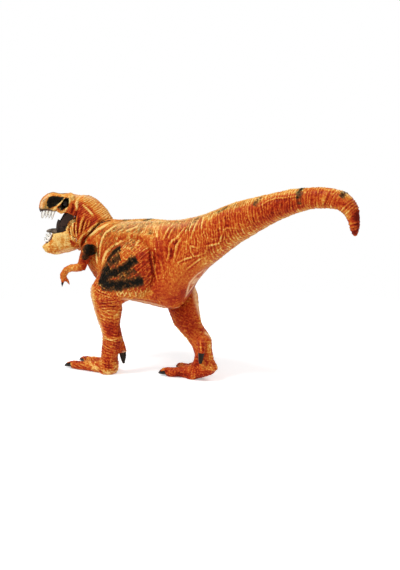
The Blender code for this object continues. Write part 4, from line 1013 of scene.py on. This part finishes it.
def make_torso_skin():
    skin = even_skin("torso_skin", "torso", 0.64)
    relax(skin, 60, torso_softness)
    points, _ = read_points(skin)
    write_points(skin, hip_pads(points))
    points, normals = read_points(skin)
    along, girth = along_spine(points)
    tail = ramp(along, 95, 130)
    sweep = np.interp(along, SWEEP_PLACES, SWEEPS)
    # The third coordinate keeps the creases of the two flanks apart.
    swept = np.stack([along + sweep * girth, girth, np.sign(points[:, 0]) * 3], axis=1)
    rings = ridges(swept, 2.0, 5)
    broken = streaks(swept, (1.6, 3.6, 9), 25)
    front = 1 - ramp(along, 42, 60)
    strength = 0.40 * front + (0.30 + 0.14 * tail) * (1 - front)
    heights = rings * strength + broken * 0.26 * (1 - front * 0.5)
    heights += (pebbles(points, 1.4, 3) - 0.5) * 0.10
    for laid in (SMOOTH_BELLY, mirrored(SMOOTH_BELLY)):
        heights *= 1 - 0.8 * stroke_mask(points, laid, 11, taper=0)
    folds = fold_heights(points, mirrored)
    washed = heights + folds * 0.95
    heights += folds
    reach = (LEG_PLANE - np.abs(points[:, 0])) / np.maximum(np.abs(normals[:, 0]), 0.2)
    heights = np.where(np.abs(points[:, 0]) > 15, np.minimum(heights, reach), heights)
    heights *= ramp((points - SEAM) @ SEAM_WAY, 0.3, 2.0)
    tone = np.full(len(points), 0.46)
    for region in ("trunk", "thigh"):
        tone = spray(points, tone, TONES[region], mirrored)
    # Painted highlight: faces that look up are made paler.
    tone += (0.80 - tone) * 0.75 * ramp(normals[:, 2], 0.55, 0.95)
    # Painted highlight: the underside of the tail is made paler.
    tone += (0.66 - tone) * 0.7 * ramp(-normals[:, 2], 0.5, 0.9) * ramp(along, 75, 95)
    # The soot value also takes the painted shade of the neck seam.
    soot = np.maximum.reduce([mist(points, SOOT, mirrored), mist(points, SEAM_SHADE, mirrored),
                              mist(points, SADDLES, taper=0)])
    # Painted rim light along the edges of the body.
    cream = mist(near_side(points), RIM_LIGHT)
    finish_skin(skin, points, normals, heights, washed=washed, tone=tone, soot=soot, cream=cream)
    dress_skin(skin, "trunk", "torso")


make_torso_skin()

# %% [markdown]
# ## The legs
#
# The thighs carry the black airbrush and short hatched creases, the knees and ankles are pebbled, and
# the toes end in glossy black claws. The claws belong to the moulding and are only painted, so a
# claw is all of the skin that lies between its knuckle and its tip.

# %% Claws
LEFT_CLAWS = [[(18.1, -58.8, -84.7), (19.9, -67.8, -86.8)], [(1.6, -58.5, -84.5), (0, -69.5, -86.1)],
              [(-4.2, -46.6, -84.5), (-6.2, -53.7, -86.1)], [(8.3, -15.7, -70), (8.3, -14.8, -79.6)]]
RIGHT_CLAWS = [[(-5.8, 18.0, -84.5), (-4.9, 8.6, -86.8)], [(-23.1, 18.7, -84.2), (-27.1, 11.0, -86.1)],
               [(-29.5, 24.6, -84.5), (-33.0, 17.2, -86.1)], [(-5.6, 50.3, -64.9), (-5.3, 49.5, -73.5)]]
CLAW_RADIUS = 3.2
CLAW_TAPER = 1.4


def claw_mask(points, claws):
    """1 beyond the knuckle of a claw, on the side of its tip, and how far along the claw a point is."""
    mask = np.zeros(len(points))
    share = np.zeros(len(points))
    for knuckle, tip in np.array(claws):
        way = tip - knuckle
        length = np.linalg.norm(way)
        along = (points - knuckle) @ way / length
        aside = np.linalg.norm(points - knuckle - along[:, None] * way / length, axis=1)
        room = CLAW_RADIUS * np.sqrt(np.clip((along + 1.5) / 2.5, 0, 1))
        room -= CLAW_TAPER * np.clip(along / length, 0, 1)
        inside = ramp(room - aside, -0.2, 0.2) * (along < length + 2)
        mask = np.maximum(mask, inside)
        share = np.where(inside > 0, np.clip(along / length, 0, 1), share)
    return mask, share


print("claws:", len(LEFT_CLAWS) + len(RIGHT_CLAWS))

# %% Leg skins
SOLE = -87.95
CLAW_RISE = 0.45


def leg_softness(points):
    """Full on the thigh and shin, less on the toes, and none on the flat face that meets the body."""
    meeting = (np.abs(points[:, 0]) < 18.0) & (points[:, 2] > -25)
    return (0.25 + 0.75 * ramp(points[:, 2], -74, -58)) * ~meeting


def make_leg_skin(side, regions, base_tone, rough, claws):
    skin = even_skin(f"{side}_leg_skin", f"{side}_leg", 0.45)
    relax(skin, 36, leg_softness)
    points, normals = read_points(skin)
    shank = 1 - ramp(points[:, 2], -30, -20)
    foot = 1 - ramp(points[:, 2], -76, -66)
    laid = np.stack([points[:, 2] + 0.25 * points[:, 1], points[:, 1], points[:, 0]], axis=1)
    slanted = np.stack([points[:, 1] - points[:, 2], points[:, 1] + points[:, 2], points[:, 0]], axis=1) * 0.7071
    bands = ridges(laid, 2.6, 8) * 0.26 * shank + ridges(slanted, 2.1, 18) * 0.34 * (1 - shank)
    broken = streaks(points, (2.6, 2.6, 1.3), 12)
    heights = (pebbles(points, 1.6, 7) - 0.5) * (0.16 + 0.16 * foot) + bands * rough + broken * 0.28 * rough
    heights += fold_heights(points, mirrored)
    heights *= ramp(np.abs(points[:, 0]), 17.9, 18.8) * (1 - shank) + shank
    heights *= ramp(points[:, 2], -87.4, -86)
    tone = np.full(len(points), base_tone)
    for region in regions:
        tone = spray(points, tone, TONES[region], mirrored if region == "thigh" else None)
    claw, share = claw_mask(points, claws)
    spur = ramp(points[:, 2], -82, -80)
    heights = heights * (1 - claw) + claw * (CLAW_RISE + (1.1 * share - 0.2) * spur)
    heights += foot * 0.3 * noise(points, 4.5, 71)
    above_sole = (points[:, 2] - SOLE) / np.maximum(-normals[:, 2], 0.1)
    heights = np.where(normals[:, 2] < 0, np.minimum(heights, above_sole), heights)
    soot = mist(points, SOOT, mirrored)
    # Painted rim light along the knee, the foot and the edge of the far thigh.
    cream = mist(points, RIM_LIGHT if side == "left" else REAR_RIM_LIGHT)
    finish_skin(skin, points, normals, heights, tone=tone, soot=soot, cream=cream, claw=claw)
    dress_skin(skin, f"{side}_leg_body", f"{side}_leg")


make_leg_skin("left", ("trunk", "thigh", "left_shin"), 0.46, 1, LEFT_CLAWS)
make_leg_skin("right", ("thigh", "right_leg"), 0.40, 0.6, RIGHT_CLAWS)

# %% [markdown]
# ## The head and neck
#
# Fine creases ring the neck, broad folds hang from the cheek, and two deep pits, one before the
# eye and one round it, are sprayed black. The head is turned, so its folds and pits are measured
# from the jaw's hinge: ahead, out to its left, and up. The skin stays true at the neck seam, where
# it turns in the body, and at the corners of the mouth, where the jaw passes it.

# %% Head skin
NAPE = [(94, 199), (98, 203), (104, 210)]
NAPE_CORNER = [(89, 193.5), (91.5, 193.5)]
THROAT = [(78.5, 239), (79, 246)]
NAPE_RISE = 2.2
THROAT_RISE = 1.3
LIP = np.array([(9, 9.6), (12, 10.8), (17.7, 14.2), (22.2, 15.0), (28, 15.4)])
LIP_DROP = 1.9
PIT_DEPTH = 0.45


def from_hinge(points):
    """How far each point is ahead of the jaw's hinge, out to its left and above it."""
    reach = points - HINGE
    return reach @ HEAD_AHEAD, reach @ HEAD_LEFT, reach[:, 2]


def head_softness(points):
    """Full on the nape and neck, little on the face, none at the neck seam and the mouth's corners."""
    ahead, out, rise = from_hinge(points)
    gap = np.abs((points - SEAM) @ SEAM_WAY)
    corner = ramp(ahead, -4, -2) * (1 - ramp(ahead, 6, 8)) * ramp(rise, 2, 4) * (1 - ramp(rise, 14, 16))
    keep = 1 - 0.95 * corner * (1 - ramp(np.abs(out), 9, 10))
    return (0.16 + 0.84 * (1 - ramp(ahead, -4, 3))) * ramp(gap, 0.5, 2.5) * keep


def make_head_skin():
    skin = even_skin("head_skin", "head", 0.36)
    relax(skin, 70, head_softness)
    points, normals = read_points(skin)
    neck_way = SEAM - (HINGE + np.array((0, 0, 22)))
    neck_way /= np.linalg.norm(neck_way)
    along = (points - HINGE) @ neck_way
    aside = (points - HINGE) @ np.cross(neck_way, (0, 0, 1))
    rings = ridges(np.stack([along, aside, points[:, 2]], axis=1), 1.6, 15)
    ahead, out, _ = from_hinge(points)
    on_neck = 1 - ramp(ahead, -4, 6)
    heights = rings * 0.34 * on_neck + (pebbles(points, 1.1, 9) - 0.5) * 0.12
    folds = fold_heights(points, mirrored_on_head)
    washed = heights + folds * 0.95
    heights += folds * 0.9
    near_cheek = points - 2 * np.minimum(out, 0)[:, None] * HEAD_LEFT
    pits = np.maximum(stencil(near_cheek, SNOUT_PIT, 0.9), stencil(near_cheek, EYE_PIT, 0.8))
    pits *= ramp(np.abs(out), 3, 5)
    heights = heights * (1 - pits) - pits * (PIT_DEPTH - 0.2 * noise(points, 1.5, 77))
    bulge = stroke_mask(points, line_on_skin(NAPE), 8, taper=0) * NAPE_RISE
    bulge -= stroke_mask(points, line_on_skin(NAPE_CORNER), 5, taper=0) * NAPE_RISE
    bulge += stroke_mask(points, line_on_skin(THROAT), 3, taper=0) * THROAT_RISE
    points = points + normals * bulge[:, None]
    over_lip = points[:, 2] - HINGE[2] - np.interp(ahead, LIP[:, 0], LIP[:, 1])
    points[:, 2] -= LIP_DROP * ramp(ahead, 8, 13) * (1 - ramp(over_lip, 0.3, 4.0))
    tone = spray(points, np.full(len(points), 0.58), TONES["head"], mirrored_on_head)
    # Painted highlight: faces that look up are made paler.
    tone += (0.78 - tone) * 0.7 * ramp(normals[:, 2], 0.35, 0.85)
    # The soot value also takes the painted shade of the neck seam.
    soot = np.maximum.reduce([mist(points, SOOT), mist(points, SEAM_SHADE), mist(points, SNOUT_CREST, taper=0),
                              pits * (1.1 + 0.25 * noise(points, 1.3, 78))])
    rise = points[:, 2] - HINGE[2]
    inside = (1 - ramp(np.abs(out), 7.2, 7.8)) * ramp(ahead, 1, 3) * (1 - ramp(rise, 16, 18))
    # Painted rim light along the edges of the head.
    finish_skin(skin, points, normals, heights, washed=washed, tone=tone, soot=soot, mouth=inside,
                cream=mist(points, RIM_LIGHT, mirrored_on_head))
    dress_skin(skin, "skull", "head")


make_head_skin()


# %% [markdown]
# ## The lower jaw
#
# The jaw is the palest moulding, lumpy and hardly folded. Its skin is made as the head's is, with
# less relaxing, so that its thin edges keep their place in the mouth. The inner corners are raised a
# little, which closes the gap to the cheeks that the open mouth would show.

# %% Jaw skin
CORNER_RISE = 2.6


def make_jaw_skin():
    skin = even_skin("lower_jaw_skin", "lower_jaw", 0.34)
    relax(skin, 10)
    points, normals = read_points(skin)
    lumps = noise(points, 2.6, 51) * 0.26 + (pebbles(points, 1.3, 11) - 0.5) * 0.16
    lumps += streaks(points, (2.2, 2.2, 1.4), 53) * 0.22
    heights = lumps + fold_heights(points, mirrored_on_head) * 0.8
    ahead, out, rise = from_hinge(points)
    corner = ramp(ahead, -3, 0) * (1 - ramp(ahead, 5, 8)) * ramp(normals[:, 2], 0.1, 0.5) * ramp(rise, 2, 3.5)
    points[:, 2] += CORNER_RISE * corner * (1 - ramp(np.abs(out), 6.5, 7.5))
    tone = spray(points, np.full(len(points), 0.86), TONES["jaw"], mirrored_on_head)
    # Painted rim light along the chin and the lip.
    finish_skin(skin, points, normals, heights, tone=tone, cream=mist(points, RIM_LIGHT, mirrored_on_head))
    dress_skin(skin, "jaw", "lower_jaw")


make_jaw_skin()


# %% [markdown]
# ## The arms
#
# Both arms wear the same paint, a black shoulder, a dark upper arm that is painted shade, and a pale
# hand. The right one can't be seen from the camera, so it takes the strokes of the left one, with their x
# turned over.

# %% Arm skins
def make_arm_skin(side, sign):
    """One arm; a sign of -1 turns the left arm's strokes over for the right one."""
    over = np.array((sign, 1, 1))
    skin = even_skin(f"{side}_arm_skin", f"{side}_arm", 0.3)
    relax(skin, 10)
    points, normals = read_points(skin)
    heights = (pebbles(points, 1.2, 13) - 0.5) * 0.12 + streaks(points, (2.0, 2.0, 1.0), 14) * 0.16
    heights *= ramp(np.abs(points[:, 0]), 17.9, 18.6)
    tones, soot = ([(value, width, line * over) for value, width, line in table] for table in (TONES["arm"], SOOT))
    tone = spray(points, np.full(len(points), 0.50), tones)
    soot = mist(points, soot)
    hand = line_on_skin([(64.5, 281), (64, 286)]) * over
    claw = ramp(stroke_mask(points, hand, 3.4, taper=0), 0.35, 0.5)
    finish_skin(skin, points, normals, heights, tone=tone, soot=soot, claw=claw * ramp(-points[:, 2], 16.5, 18))
    dress_skin(skin, f"{side}_arm_body", f"{side}_arm")


make_arm_skin("left", 1)
make_arm_skin("right", -1)

# %% [markdown]
# ## The teeth and the small mouldings
#
# Each row of teeth is one white strip. It gets a finer skin than the rest, a little thicker than the
# plain one, and a value that stains it dark at the gum and paints shade on the sides where one tooth
# faces the next. The eyes, linings, tongue, pegs and pin keep their plain shapes and only change their
# finish.

# %% Teeth
UPPER_THICKNESS = 0.3
LOWER_THICKNESS = 0.15


def make_tooth_skin(node, body, up):
    """Teeth a little stouter than the plain ones, with a dark wash where they leave the gum and painted shade on
    the sides that face the next tooth.
    """
    skin = even_skin(f"{node}_skin", node, 0.2)
    relax(skin, 2)
    points, normals = read_points(skin)
    write_points(skin, points + normals * (UPPER_THICKNESS if up < 0 else LOWER_THICKNESS))
    ahead = from_hinge(points)[0]
    marks = np.linspace(ahead.min(), ahead.max(), 14)
    roots = [(-up * points[np.abs(ahead - mark) < 1.2, 2]).max() for mark in marks]
    depth = np.interp(ahead, marks, roots) + up * points[:, 2]
    # Painted shade on the sides of a tooth that face the next one.
    shaded_sides = 0.75 * ramp(np.abs(normals @ HEAD_AHEAD), 0.70, 0.95)
    keep_values(skin, "wash_and_shade", np.maximum(1 - ramp(depth + noise(points, 0.8, 61) * 0.4, 0.9, 2.0), shaded_sides))
    dress_skin(skin, body, node, TOOTH_WHITE)


make_tooth_skin("upper_teeth", "skull", -1)
make_tooth_skin("lower_teeth", "jaw", 1)

# %% Plain shapes with a new finish
NEW_FINISHES = {"palate": MOUTH_DARK, "mouth_floor": MOUTH_DARK, "tongue": TONGUE_DARK, "left_eye": EYE_GLOSS,
                "right_eye": EYE_GLOSS, "jaw_hinge_pin": PIN_STEEL}
NEW_FINISHES.update({node: PEG_BLACK for node in frame["nodes"] if node.endswith("_peg")})
for node, finish in NEW_FINISHES.items():
    for material_slot in frame["nodes"][node].material_slots:
        material_slot.material = finish
print("repainted:", len(NEW_FINISHES))
